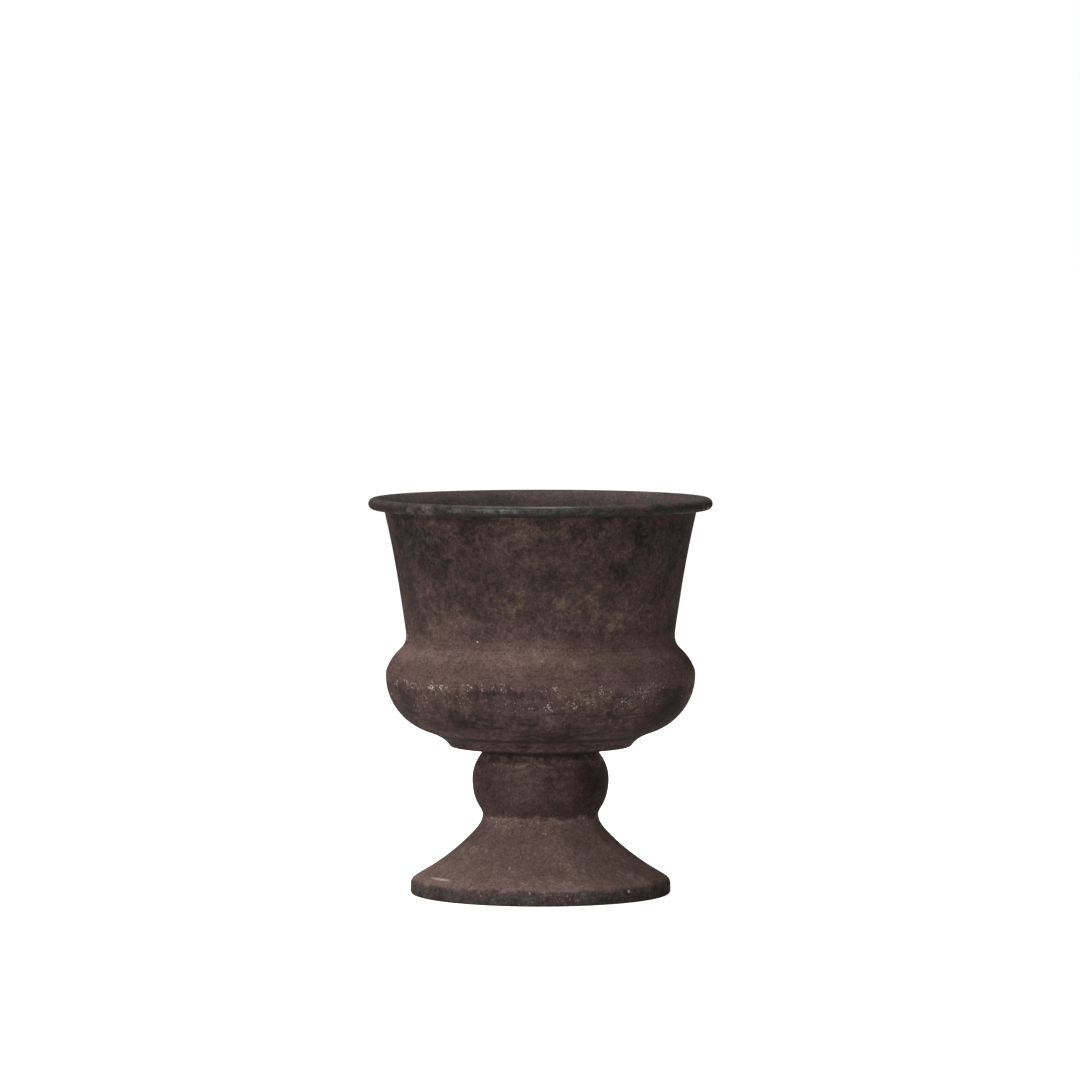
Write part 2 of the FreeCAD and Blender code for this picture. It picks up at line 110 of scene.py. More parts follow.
class Value:
    """An output of a node. A sum with it adds a math node to its tree."""

    def __init__(self, graph, socket):
        self.graph = graph
        self.socket = socket

    def __add__(self, value):
        return self.graph.math("ADD", self, value)

    def __sub__(self, value):
        return self.graph.math("SUBTRACT", self, value)

    def __rsub__(self, value):
        return self.graph.math("SUBTRACT", value, self)

    def __mul__(self, value):
        return self.graph.math("MULTIPLY", self, value)

    def __rtruediv__(self, value):
        return self.graph.math("DIVIDE", value, self)

    def most(self, value):
        """The larger of two values."""
        return self.graph.math("MAXIMUM", self, value)

    def other(self, name):
        """Another output of the same node."""
        return Value(self.graph, self.socket.node.outputs[name])


class Graph:
    """Adds nodes to a tree. An input takes a plain value, or a Value to be linked."""

    def __init__(self, tree):
        self.tree = tree

    def feed(self, node, inputs):
        """Sets or links a node's inputs."""
        for key, value in inputs.items():
            if isinstance(value, Value):
                self.tree.links.new(value.socket, node.inputs[key])
            else:
                node.inputs[key].default_value = value

    def add(self, kind, inputs, output=0, **settings):
        """An output of a new node with its settings and inputs."""
        node = self.tree.nodes.new(kind)
        for name, value in settings.items():
            setattr(node, name, value)
        self.feed(node, inputs)
        return Value(self, node.outputs[output])

    def shape(self, kind, settings=None, **inputs):
        """The first output of a geometry node."""
        return self.add("GeometryNode" + kind, titled(inputs), **(settings or {}))

    def group(self, name, **inputs):
        """The first output of a shader group."""
        return self.add("ShaderNodeGroup", titled(inputs), node_tree=bpy.data.node_groups[name])

    def math(self, operation, *values):
        """The value of a sum."""
        return self.add("ShaderNodeMath", dict(enumerate(values)), operation=operation)

    def vector(self, operation, *values):
        """The vector of a vector sum."""
        return self.add("ShaderNodeVectorMath", dict(enumerate(values)), operation=operation)

    def scaled(self, vector, scale):
        """A vector made longer or shorter."""
        return self.add("ShaderNodeVectorMath", {0: vector, "Scale": scale}, operation="SCALE")

    def length(self, vector):
        """The length of a vector."""
        return self.add("ShaderNodeVectorMath", {0: vector}, "Value", operation="LENGTH")

    def part(self, vector, axis):
        """The part of a vector along an axis."""
        return self.add("ShaderNodeSeparateXYZ", {0: vector}, axis)

    def joined(self, **parts):
        """A vector from its parts."""
        return self.add("ShaderNodeCombineXYZ", parts)

    def ramp(self, value, low, high, start=0.0, end=1.0):
        """A value eased from start to end as it goes from low to high."""
        inputs = {"Value": value, "From Min": low, "From Max": high, "To Min": start, "To Max": end}
        return self.add("ShaderNodeMapRange", inputs, interpolation_type="SMOOTHSTEP")

    def noise(self, position, scale, detail, roughness, seed, output=0):
        """Fractal noise about one half."""
        inputs = {"Vector": position, "W": seed, "Scale": scale, "Detail": detail, "Roughness": roughness}
        return self.add("ShaderNodeTexNoise", inputs, output, noise_dimensions="4D")

    def blend(self, factor, below, above, way="MIX"):
        """One colour laid over another."""
        inputs = {0: factor, 6: below, 7: above}
        return self.add("ShaderNodeMix", inputs, 2, data_type="RGBA", blend_type=way)


class TreeGraph(Graph):
    """The graph of a new node tree. An input is given by its default or its type, an output by its type."""

    def __init__(self, name, outputs, **inputs):
        kind = "GeometryNodeTree" if outputs == SHAPE else "ShaderNodeTree"
        super().__init__(bpy.data.node_groups.new(name, kind))
        types = {float: "Float", int: "Int", tuple: "Vector"}
        add_socket = self.tree.interface.new_socket
        for words, default in titled(inputs).items():
            typed = types.get(type(default), default)
            socket = add_socket(words, in_out="INPUT", socket_type="NodeSocket" + typed)
            if typed is not default:
                socket.default_value = default
        for words, typed in outputs.items():
            add_socket(words, in_out="OUTPUT", socket_type="NodeSocket" + typed)
        sockets = self.tree.nodes.new("NodeGroupInput").outputs
        self.given = SimpleNamespace(**{words: Value(self, socket) for words, socket in zip(inputs, sockets)})
        self.output = self.tree.nodes.new("NodeGroupOutput")

    def end(self, **results):
        """Feeds the tree's outputs."""
        self.feed(self.output, titled(results))

    def end_shape(self, geometry):
        """Ends a geometry tree: real mesh, with its material."""
        real = self.shape("RealizeInstances", geometry=geometry)
        self.end(geometry=self.shape("SetMaterial", geometry=real, material=self.given.material))


def titled(inputs):
    """Inputs under their sockets' names, from words joined with underscores."""
    return {words.replace("_", " ").title(): value for words, value in inputs.items()}


def cut_level(amount):
    """Where to cut noise so that more of it shows for a larger amount."""
    return NOISE_TOP - amount * NOISE_SPAN


def spun_sheet_tree():
    """Spins a section round the axis, pushes soft dents in, and ripples the face of a weld."""
    graph = TreeGraph(
        "Spun sheet", SHAPE, section="Geometry", segments=240, path_radius=0.1, dent_depth=0.0, dent_size=0.05,
        still_radius=0.04, ripple_depth=0.0, ripple_count=100.0, seed=0.0, sharp_angle=0.6, material="Material",
    )
    given = graph.given
    section = graph.shape("MeshToCurve", mesh=given.section)
    inward = graph.joined(X=given.path_radius * -1.0)
    laid = graph.shape("Transform", geometry=section, translation=inward, rotation=(math.pi / 2, 0.0, 0.0))
    circle = graph.shape("CurvePrimitiveCircle", resolution=given.segments, radius=given.path_radius)
    path = graph.shape("SetCurveNormal", {"mode": "Z_UP"}, curve=circle)
    shell = graph.shape("CurveToMesh", curve=path, profile_curve=laid)

    position = graph.shape("InputPosition")
    flat = graph.vector("MULTIPLY", position, LEVEL)
    dent = graph.noise(position, 1.0 / given.dent_size, 2.0, 0.45, given.seed)
    pushed = graph.ramp(dent, 0.42, 0.74) * given.dent_depth
    pushed = pushed * graph.ramp(graph.length(flat), given.still_radius, given.still_radius * 2.0)
    angle = graph.math("ARCTAN2", graph.part(position, "Y"), graph.part(position, "X"))
    uneven = graph.noise(position, 90.0, 1.0, 0.5, given.seed) * 6.0
    wave = graph.math("SINE", angle * given.ripple_count + uneven)
    ripple = graph.math("ABSOLUTE", wave) * given.ripple_depth
    offset = graph.scaled(graph.vector("NORMALIZE", flat), ripple - pushed)
    shell = graph.shape("SetPosition", geometry=shell, offset=offset)

    shell = graph.shape("SetShadeSmooth", geometry=shell, shade_smooth=True)
    crisp = graph.math("GREATER_THAN", graph.shape("InputMeshEdgeAngle"), given.sharp_angle)
    edges = {"domain": "EDGE"}
    graph.end_shape(graph.shape("SetShadeSmooth", edges, geometry=shell, selection=crisp, shade_smooth=False))


def drain_holes_tree():
    """Drills a ring of holes straight down through a floor."""
    graph = TreeGraph(
        "Drain holes", SHAPE, floor="Geometry", count=4, hole_radius=0.004, circle_radius=0.02, start_angle=0.0,
        height=0.0, depth=0.01, material="Material",
    )
    given = graph.given
    places = graph.shape("MeshCircle", vertices=given.count, radius=given.circle_radius)
    turn, lift = graph.joined(Z=given.start_angle), graph.joined(Z=given.height)
    places = graph.shape("Transform", geometry=places, translation=lift, rotation=turn)
    drill = graph.shape("MeshCylinder", vertices=DRILL_SIDES, radius=given.hole_radius, depth=given.depth)
    drills = graph.shape("InstanceOnPoints", points=places, instance=drill)
    drills = graph.shape("RealizeInstances", geometry=drills)
    graph.end_shape(graph.shape("MeshBoolean", {"operation": "DIFFERENCE"}, mesh_1=given.floor, mesh_2=drills))


def lime_chips_tree():
    """Scatters small lime chips over a surface, in clumps along a band round a height."""
    graph = TreeGraph(
        "Lime chips", SHAPE, surface="Geometry", height=0.1, spread=0.002, waver=0.001, least_radius=0.0,
        clump_size=0.02, coverage=0.5, density=100000.0, chip_size=0.0006, seed=1, material="Material",
    )
    given = graph.given
    position = graph.shape("InputPosition")
    seed = given.seed * 3.7
    drift = (graph.noise(position, 30.0, 2.0, 0.5, seed) - NOISE_MIDDLE) * (given.waver * 4.0)
    away = graph.math("ABSOLUTE", graph.part(position, "Z") - drift - given.height)
    near = graph.ramp(away, given.spread * 0.25, given.spread, 1.0, 0.0)
    level = cut_level(given.coverage)
    clump = graph.ramp(graph.noise(position, 1.0 / given.clump_size, 3.0, 0.6, seed), level, level + 0.12)
    radius = graph.length(graph.vector("MULTIPLY", position, LEVEL))
    outside = graph.math("GREATER_THAN", radius, given.least_radius)
    density = near * clump * given.density * outside
    spots = graph.shape("DistributePointsOnFaces", mesh=given.surface, density=density, seed=given.seed)

    spin = graph.add("FunctionNodeRandomValue", {"Max": FULL_TURN, "Seed": given.seed}, 1, data_type="FLOAT")
    spin = graph.add("FunctionNodeEulerToRotation", {0: graph.joined(Z=spin)})
    turn = graph.add("FunctionNodeRotateRotation", {0: spots.other("Rotation"), 1: spin}, rotation_space="LOCAL")
    limits = {0: CHIP_LEAST, 1: CHIP_MOST, "Seed": given.seed + 7.0}
    sizes = graph.add("FunctionNodeRandomValue", limits, data_type="FLOAT_VECTOR")
    sizes = graph.scaled(sizes, given.chip_size)
    chip = graph.shape("MeshIcoSphere", radius=1.0, subdivisions=1)
    graph.end_shape(graph.shape("InstanceOnPoints", points=spots, instance=chip, rotation=turn, scale=sizes))


# Meshes

def section_mesh(node, step):
    """The half section of a turned CAD node at +X, as one closed loop whose edges are no longer than step."""
    mesh = bmesh.new()
    mesh.from_mesh(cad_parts[node].data)
    bmesh.ops.remove_doubles(mesh, verts=mesh.verts, dist=MERGE_DISTANCE)
    everything = mesh.verts[:] + mesh.edges[:] + mesh.faces[:]
    plane = {"plane_co": (0, 0, 0), "plane_no": (0, 1, 0)}
    cut = bmesh.ops.bisect_plane(mesh, geom=everything, dist=MERGE_DISTANCE, **plane)
    edges = [item for item in cut["geom_cut"] if isinstance(item, bmesh.types.BMEdge)]
    neighbours = {}
    for edge in edges:
        if all(vert.co.x > 0 for vert in edge.verts):
            for vert in edge.verts:
                neighbours.setdefault(vert, []).append(edge.other_vert(vert))
    if any(len(others) != 2 for others in neighbours.values()):
        raise ValueError(f"the section of {node} isn't one closed loop")
    start = next(iter(neighbours))
    loop, before, here = [], None, start
    while here is not start or not loop:
        loop.append((here.co.x, here.co.z))
        before, here = here, next(vert for vert in neighbours[here] if vert is not before)
    mesh.free()
    points = []
    for (x, z), (next_x, next_z) in zip(loop, loop[1:] + loop[:1]):
        across, up = next_x - x, next_z - z
        pieces = max(1, math.ceil(math.hypot(across, up) / step))
        points += [(x + across * part / pieces, 0.0, z + up * part / pieces) for part in range(pieces)]
    section = bpy.data.meshes.new(node + "_section")
    section.from_pydata(points, [(index, (index + 1) % len(points)) for index in range(len(points))], [])
    return section


def set_inputs(modifier, values):
    """Sets a modifier's inputs, found by name, through their identifiers."""
    for item in modifier.node_group.interface.items_tree:
        if item.item_type == "SOCKET" and item.in_out == "INPUT" and item.name in values:
            modifier[item.identifier] = values[item.name]


def placed(name, data):
    """A new object in the scene."""
    thing = bpy.data.objects.new(name, data)
    bpy.context.scene.collection.objects.link(thing)
    return thing


def made_mesh(name, start, steps):
    """A plain mesh piece from a start mesh run through geometry trees, each with its inputs."""
    piece = placed(name, start)
    for tree, inputs in steps.items():
        modifier = piece.modifiers.new(tree, "NODES")
        modifier.node_group = bpy.data.node_groups[tree]
        set_inputs(modifier, titled(inputs))
    depsgraph = bpy.context.evaluated_depsgraph_get()
    mesh = bpy.data.meshes.new_from_object(piece.evaluated_get(depsgraph), depsgraph=depsgraph)
    piece.modifiers.clear()
    piece.data = mesh
    mesh.name = name
    tidy = bmesh.new()
    tidy.from_mesh(mesh)
    bmesh.ops.remove_doubles(tidy, verts=tidy.verts, dist=MERGE_DISTANCE)
    bmesh.ops.recalc_face_normals(tidy, faces=tidy.faces)
    tidy.to_mesh(mesh)
    tidy.free()
    if not mesh.polygons:
        raise ValueError(f"{name} came out empty")
    return piece


def spun(node, finish, ripple_depth=0.0, ripple_count=100.0, drains=False):
    """A spun piece that stands for a turned CAD node, from that node's own section."""
    shape = bpy.context.scene.urn_shape
    material = bpy.data.materials[finish]
    section = section_mesh(node, shape.section_step)
    steps = {"Spun sheet": dict(
        segments=shape.segments, path_radius=max(vert.co.x for vert in section.vertices),
        dent_depth=shape.dent_depth, dent_size=shape.dent_size, still_radius=shape.still_radius,
        ripple_depth=ripple_depth, ripple_count=ripple_count, seed=float(shape.seed),
        sharp_angle=shape.sharp_angle, material=material,
    )}
    if drains:
        low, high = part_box("bowl_dish")
        steps["Drain holes"] = dict(
            count=shape.drain_count, hole_radius=shape.drain_radius, circle_radius=shape.drain_circle,
            start_angle=shape.drain_angle, height=low.z, depth=(high.z - low.z) / 3, material=material,
        )
    piece = made_mesh("spun_" + node, section, steps)
    bpy.data.meshes.remove(section)
    if node in BOWL_SHELLS:
        mark_inside(piece.data)
    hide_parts(node)
    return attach(piece, BODY)


def mark_inside(mesh):
    """Marks the points of a bowl's sheet that are inside: off the bead, on a face that looks up or in."""
    inside = mesh.attributes.new("inside", "FLOAT", "POINT")
    for vert, value in zip(mesh.vertices, inside.data):
        radius = vert.co.xy.length
        from_wire = math.hypot(radius - RIM_RADIUS, vert.co.z - RIM_Z)
        inward = UP_SHARE * vert.normal.z - vert.normal.xy.dot(vert.co.xy) / radius
        value.value = float(inward > 0.0 and from_wire > BEAD_RADIUS + MERGE_DISTANCE)


# Lines of chips: the piece, what it sits on, its share of the full density, and the tree's inputs
LIME_LINES = (
    dict(
        name="lime_belly_line", surface="spun_bowl_belly", share=1.0, height=BELLY_Z - 0.0032, spread=0.0036,
        waver=0.0014, least_radius=BELLY_RADIUS - 0.0012, clump_size=0.011, coverage=0.36,
    ),
    dict(
        name="lime_seam_line", surface="spun_bowl_belly", share=0.4, height=SEAM_Z + 0.001, spread=0.0024,
        waver=0.0016, least_radius=BELLY_RADIUS - 0.006, clump_size=0.012, coverage=0.3,
    ),
    dict(
        name="lime_stem_crease", surface="spun_foot_flare", share=0.16, height=STEM_Z - 0.004, spread=0.006,
        waver=0.002, least_radius=0.0, clump_size=0.014, coverage=0.36, chip_size=0.0005,
    ),
    dict(
        name="lime_foot_band", surface="spun_foot_flare", share=0.05, height=0.006, spread=0.006,
        waver=0.002, least_radius=FOOT_RADIUS - 0.002, clump_size=0.02, coverage=0.36, chip_size=0.0006,
    ),
)


def chips(name, surface, share, seed, **inputs):
    """A crust of lime chips that sits on a piece."""
    crust = bpy.context.scene.urn_crust
    inputs.setdefault("chip_size", crust.chip_size)
    inputs.update(density=crust.density * share, seed=seed, material=bpy.data.materials["lime_crust"])
    piece = made_mesh(name, bpy.data.objects[surface].data, {"Lime chips": inputs})
    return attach(piece, BODY)


# Shader groups

def height_band_group():
    """A mask that is full between two heights and fades over a soft edge at each."""
    graph = TreeGraph("Height band", MASK, position="Vector", low=0.0, high=0.1, soft=0.01)
    given = graph.given
    height = graph.part(given.position, "Z")
    rise = graph.ramp(height, given.low - given.soft, given.low)
    graph.end(mask=rise * graph.ramp(height, given.high, given.high + given.soft, 1.0, 0.0))


def stain_group():
    """A soft round mask about a point, narrowed along an axis where its stretch is above one."""
    graph = TreeGraph(
        "Stain", MASK, position="Vector", centre="Vector", stretch=EVEN, radius=0.02, strength=1.0,
    )
    given = graph.given
    apart = graph.vector("SUBTRACT", given.position, given.centre)
    away = graph.length(graph.vector("MULTIPLY", apart, given.stretch))
    graph.end(mask=graph.ramp(away, given.radius * 0.15, given.radius, 1.0, 0.0) * given.strength)


def patchy_group():
    """A ragged mask: noise cut at a level that an amount sets, so more of it shows where the amount is high."""
    graph = TreeGraph(
        "Patchy", MASK, position="Vector", amount=0.5, size=0.004, soft=0.08, detail=5.0, roughness=0.65, seed=0.0,
    )
    given = graph.given
    grain = graph.noise(given.position, 1.0 / given.size, given.detail, given.roughness, given.seed)
    level = cut_level(given.amount)
    graph.end(mask=graph.ramp(grain, level - given.soft, level + given.soft))


def sand_grain_group():
    """The fine sandy tooth of the surface: a height for bump, a shade that darkens it, and its pits."""
    outputs = {"Height": "Float", "Shade": "Float", "Pits": "Float"}
    graph = TreeGraph("Sand grain", outputs, position="Vector", size=0.0008, pit_size=0.006, pit_radius=0.12)
    given = graph.given
    scale = 1.0 / given.size
    tooth = graph.noise(given.position, scale, 4.0, 0.8, 5.0)
    swell = graph.noise(given.position, scale * 0.22, 3.0, 0.6, 9.0)
    pattern = {"Vector": given.position, "Scale": 1.0 / given.pit_size, "Randomness": 1.0}
    cells = graph.add("ShaderNodeTexVoronoi", pattern, "Distance")
    chance = graph.add("ShaderNodeSeparateColor", {0: cells.other("Color")})
    width = given.pit_radius * graph.ramp(chance, 0.35, 1.0)
    pits = graph.ramp(cells, width * 0.4, width, 1.0, 0.0) * graph.math("GREATER_THAN", chance, 0.4)
    height = tooth * 0.6 + swell * 0.9 - pits * 0.8
    graph.end(height=height, shade=graph.ramp(tooth, 0.32, 0.68), pits=pits)


def ring_distance_group():
    """How far a point is from a level ring about the axis."""
    graph = TreeGraph("Ring distance", {"Distance": "Float"}, position="Vector", ring_radius=0.1, ring_height=0.1)
    given = graph.given
    across = graph.length(graph.vector("MULTIPLY", given.position, LEVEL)) - given.ring_radius
    up = graph.part(given.position, "Z") - given.ring_height
    graph.end(distance=graph.length(graph.joined(X=across, Y=up)))


def ragged_position_group():
    """A position pushed about by noise, so that masks made from it have uneven edges."""
    graph = TreeGraph("Ragged position", {"Position": "Vector"}, position="Vector", reach=0.006, size=0.02)
    given = graph.given
    push = graph.noise(given.position, 1.0 / given.size, 4.0, 0.6, 2.0, "Color")
    push = graph.scaled(graph.vector("SUBTRACT", push, (NOISE_MIDDLE,) * 3), given.reach * 2.0)
    graph.end(position=graph.vector("ADD", given.position, push))


# Materials

WHITE, BLACK = (1.0, 1.0, 1.0, 1.0), (0.0, 0.0, 0.0, 1.0)
FRONT, BACK = -1.0, 1.0
FLOOR_DIP = 0.985  # the floor's darkest tone, as a share of its colour

# Pattern sizes of the aged finish, in metres
SPECKLE_SIZE, CLOUD_SIZE, HUE_SIZE, GRAIN_SIZE, SPIN_MARK_SIZE = 0.0045, 0.03, 0.03, 0.0014, 0.0016
SPIN_MARK_SHAPE = (0.06, 0.06, 1.0)  # drawn out round the urn, fine in height
RAGGED_REACH, RAGGED_SIZE = 0.009, 0.02

# Shares of the aged finish: what even zones keep of speckle and clouds, how even and dark the inside is, what dark
# clouds add to the burnt blotches and clear places take from them, painted shadow under the bowl and the bead, and
# bead stain
CALM_SPECKLE, CALM_DRIFT, INSIDE_CALM, INSIDE_DARK = 0.47, 0.5, 0.7, 0.06
CLOUD_BURN, CLEARING, UNDER_BOWL_SHADOW, CREASE_SHADOW, BEAD_STAIN = 1.4, 0.2, 0.72, 0.7, 0.4

# Stains, and places of painted shade and highlight, on the shells: x, height and radius in millimetres, and
# strength
CHARCOAL_STAINS = (
    (-101, 281, 40, 1.0), (-82, 262, 38, 1.0), (-49, 283, 24, 0.9), (-69, 238, 30, 0.6), (-92, 209, 20, 0.4),
    (-9, 252, 14, 0.6), (27, 281, 20, 0.8), (47, 282, 24, 0.9), (62, 263, 26, 0.6), (80, 275, 30, 0.6),
    (104, 283, 34, 0.7), (95, 255, 26, 0.5), (-16, 268, 20, 0.5), (-30, 250, 20, 0.3), (6, 225, 20, 0.5),
    (36, 175, 18, 0.7), (-63, 140, 18, 0.6), (-36, 138, 18, 0.45), (-96, 146, 22, 0.8), (-20, 160, 12, 0.9),
    (-49, 157, 13, 0.7), (60, 138, 24, 0.3), (-40, 97, 20, 0.8), (-44, 68, 14, 0.7), (40, 90, 24, 0.7),
    (10, 90, 16, 0.2), (24, 45, 24, 0.5), (45, 38, 24, 0.5), (70, 22, 20, 0.4), (85, 170, 20, 0.4),
    (20, 245, 16, 0.1), (-44, 225, 16, 0.2), (-115, 232, 24, 0.6), (0, 142, 18, 0.2), (28, 72, 16, 0.7),
)
OCHRE_STAINS = (
    (-11, 285, 26, 1.0), (13, 283, 22, 0.9), (-20, 231, 24, 0.7), (27, 231, 38, 0.8), (-83, 289, 12, 0.9),
    (43, 160, 26, 0.9), (69, 155, 20, 0.8), (-82, 202, 22, 0.7), (-5, 78, 9, 1.0), (-60, 224, 14, 0.6),
    (-38, 182, 28, 0.5), (0, 180, 24, 0.5), (0, 57, 18, 0.9), (-26, 53, 14, 0.7), (60, 212, 34, 0.8),
    (-10, 160, 14, 0.5), (-72, 157, 12, 0.5), (2, 289, 16, 1.0),
)
MAUVE_STAINS = (
    (-42, 272, 10, 1.0), (-86, 291, 7, 0.9), (-68, 292, 7, 0.8), (-110, 240, 18, 0.5), (70, 232, 34, 0.8),
    (-30, 200, 22, 0.5), (10, 150, 26, 0.6), (80, 190, 26, 0.7), (-60, 170, 22, 0.4), (-80, 20, 28, 0.4),
    (30, 40, 30, 0.8), (60, 150, 20, 0.5), (-10, 225, 24, 0.6),
)
LIME_CLUSTERS = (
    (-100, 197, 9, 1.0), (-108, 163, 8, 1.0), (-99, 164, 7, 0.8), (-89, 163, 7, 0.7), (-81, 161, 8, 1.0),
    (-73, 161, 7, 1.0), (-62, 163, 6, 0.7), (-54, 164, 7, 1.0), (-43, 164, 7, 1.0), (-29, 163, 7, 1.0),
    (-19, 151, 7, 0.7), (1, 162, 9, 0.8), (7, 151, 9, 0.9), (18, 163, 7, 0.7), (25, 152, 9, 0.9),
    (27, 163, 7, 0.7), (36, 157, 11, 0.7), (38, 150, 8, 0.7), (55, 149, 9, 0.8), (63, 154, 13, 0.9),
    (69, 162, 8, 0.8), (78, 158, 9, 0.8), (90, 163, 8, 0.6), (106, 165, 8, 0.8), (-51, 142, 6, 0.6),
    (-5, 58, 10, 1.0), (-14, 56, 8, 0.9), (6, 60, 8, 0.8), (-18, 104, 8, 0.6), (-2, 102, 8, 0.6),
    (14, 104, 7, 0.5), (-8, 10, 8, 0.5), (10, 10, 8, 0.5),
)
LIME_SPOTS = (
    (66, 9, 1.6, 1.0), (-15, 34, 1.0, 1.0), (-23, 26, 1.0, 1.0), (-62, 32, 0.8, 0.8), (-47, 197, 1.1, 0.9),
    (20, 8, 0.9, 0.6), (-8, 10, 0.9, 0.6),
)
CLEAR_PLACES = (
    (-60, 225, 34, 1.0), (-10, 222, 34, 1.0), (40, 225, 36, 1.0), (10, 250, 24, 0.7), (72, 220, 36, 1.0),
)
# Painted shade: smooth darkening where the sides turn away from the light, on the rim, wall, belly, dish and knop
PAINTED_SHADES = (
    (-100, 272, 45, 0.3), (-62, 275, 42, 0.4), (43, 88, 40, 1.0), (-36, 88, 28, 0.65), (88, 134, 52, 1.0),
    (112, 293, 48, 0.8), (110, 262, 30, 0.4),
)
BEAD_RUBS = ((-25, 296, 100, 1.0),)
# Wear to metal on the bead's edge, painted pale also as a highlight, placed where the light glints
BEAD_WEAR_SHEEN = (
    (-60, 296, 14, 0.5), (-42, 296, 16, 0.65), (-24, 296, 16, 0.6), (-4, 296, 18, 0.3), (18, 296, 18, 0.2),
    (40, 296, 14, 0.2),
)
BEAD_DUST = ((-98, 294, 7, 0.7), (-85, 294, 10, 1.0))
FAR_DUST = ((45, 294, 10, 1.0), (60, 292, 14, 0.6), (82, 292, 16, 0.5), (-15, 294, 6, 0.6))
BAND_GRIME = ((-78, 5, 16, 1.0),)
# A scuff on the foot's shoulder, painted as a pale streak that is partly a painted highlight
SCUFF_HIGHLIGHTS = ((-75, 15.5, 19, 0.5),)
SCUFF_HIGHLIGHT_STRETCH = (1.0, 1.0, 17.0)

# Blotches: stains, amount everywhere, gain of the stains, size, seed, shift of tone and shift of hue
BLOTCHES = (
    (CHARCOAL_STAINS, 0.26, 0.40, 0.0085, 27.0, -0.17, 0.0),
    (OCHRE_STAINS, 0.20, 0.42, 0.007, 37.0, 0.12, -0.6),
    (MAUVE_STAINS, 0.30, 0.30, 0.005, 47.0, 0.07, 0.35),
)

# Zones: low, high and soft edge, with how even the finish is there, how its tone shifts, or how much lime it has
CALM_ZONES = (
    (FLARE_Z, STEM_Z - 0.004, 0.006, 1.0),
    (BELLY_Z, NECK_Z + 0.001, 0.006, 1.0),
    (STEM_Z + 0.004, BASE_Z - 0.008, 0.006, 0.6),
)
TONE_ZONES = (
    (RIM_Z - 0.011, RIM_Z - 0.0062, 0.003, 0.14),
    (NECK_Z + 0.05, RIM_Z, 0.045, -0.16),
    (NECK_Z + 0.002, NECK_Z + 0.008, 0.006, -0.02),
    (NECK_Z - 0.011, NECK_Z - 0.001, 0.008, 0.19),
    (BELLY_Z - 0.0025, NECK_Z - 0.008, 0.006, 0.135),
    # Painted shade: the dish's downward face is darker
    (BASE_Z, SEAM_Z - 0.004, 0.014, -0.05),
    # Painted light: the knop's top, shaded by the bowl above it, is lifted paler
    (BASE_Z - 0.0105, BASE_Z - 0.006, 0.003, 0.24),
    (BASE_Z - 0.016, BASE_Z - 0.005, 0.006, 0.16),
    (STEM_Z + 0.004, BASE_Z - 0.001, 0.006, 0.07),
    (STEM_Z + 0.004, STEM_Z + 0.012, 0.004, -0.07),
    (STEM_Z - 0.017, STEM_Z - 0.005, 0.006, -0.1),
    (FLARE_Z, STEM_Z - 0.0015, 0.004, 0.38),
)
LIME_ZONES = (
    (BELLY_Z - 0.0042, BELLY_Z - 0.0022, 0.004, 0.2),
    (SEAM_Z - 0.002, SEAM_Z + 0.004, 0.008, 0.16),
    (STEM_Z - 0.008, STEM_Z + 0.001, 0.006, 0.19),
    (BASE_Z - 0.012, BASE_Z - 0.006, 0.004, 0.2),
    (0.0, 0.009, 0.003, 0.13),
)


def outer_profile():
    """The widest radius of the shells in each millimetre of height."""
    widest = {}
    for node in SHELLS:
        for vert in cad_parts[node].data.vertices:
            level = round(vert.co.z * 1000)
            widest[level] = max(widest.get(level, 0.0), vert.co.xy.length)
    return widest


class Surface:
    """A new material: its shader, and the colour that is laid on it."""

    def __init__(self, name, colour=BLACK):
        self.material = bpy.data.materials.new(name)
        self.material.use_nodes = True
        self.graph = Graph(self.material.node_tree)
        self.shader = self.material.node_tree.nodes["Principled BSDF"]
        self.position = self.graph.add("ShaderNodeTexCoord", {}, "Object")
        self.finish = bpy.context.scene.urn_finish
        self.colour = colour

    def patchy(self, amount, size, seed, position=None, **more):
        """A ragged mask."""
        place = position or self.position
        return self.graph.group("Patchy", position=place, amount=amount, size=size, seed=seed, **more)

    def lay(self, mask, colour, way="MIX"):
        """Lays a colour over the rest, by a mask."""
        self.colour = self.graph.blend(mask, self.colour, colour, way)

    def dress(self, inputs, height, distance, strength=1.0):
        """Feeds the shader its colour, a bump from a height, and other inputs."""
        bump = {"Height": height, "Distance": distance, "Strength": strength}
        normal = self.graph.add("ShaderNodeBump", bump)
        self.graph.feed(self.shader, {"Base Color": self.colour, "Normal": normal, **inputs})


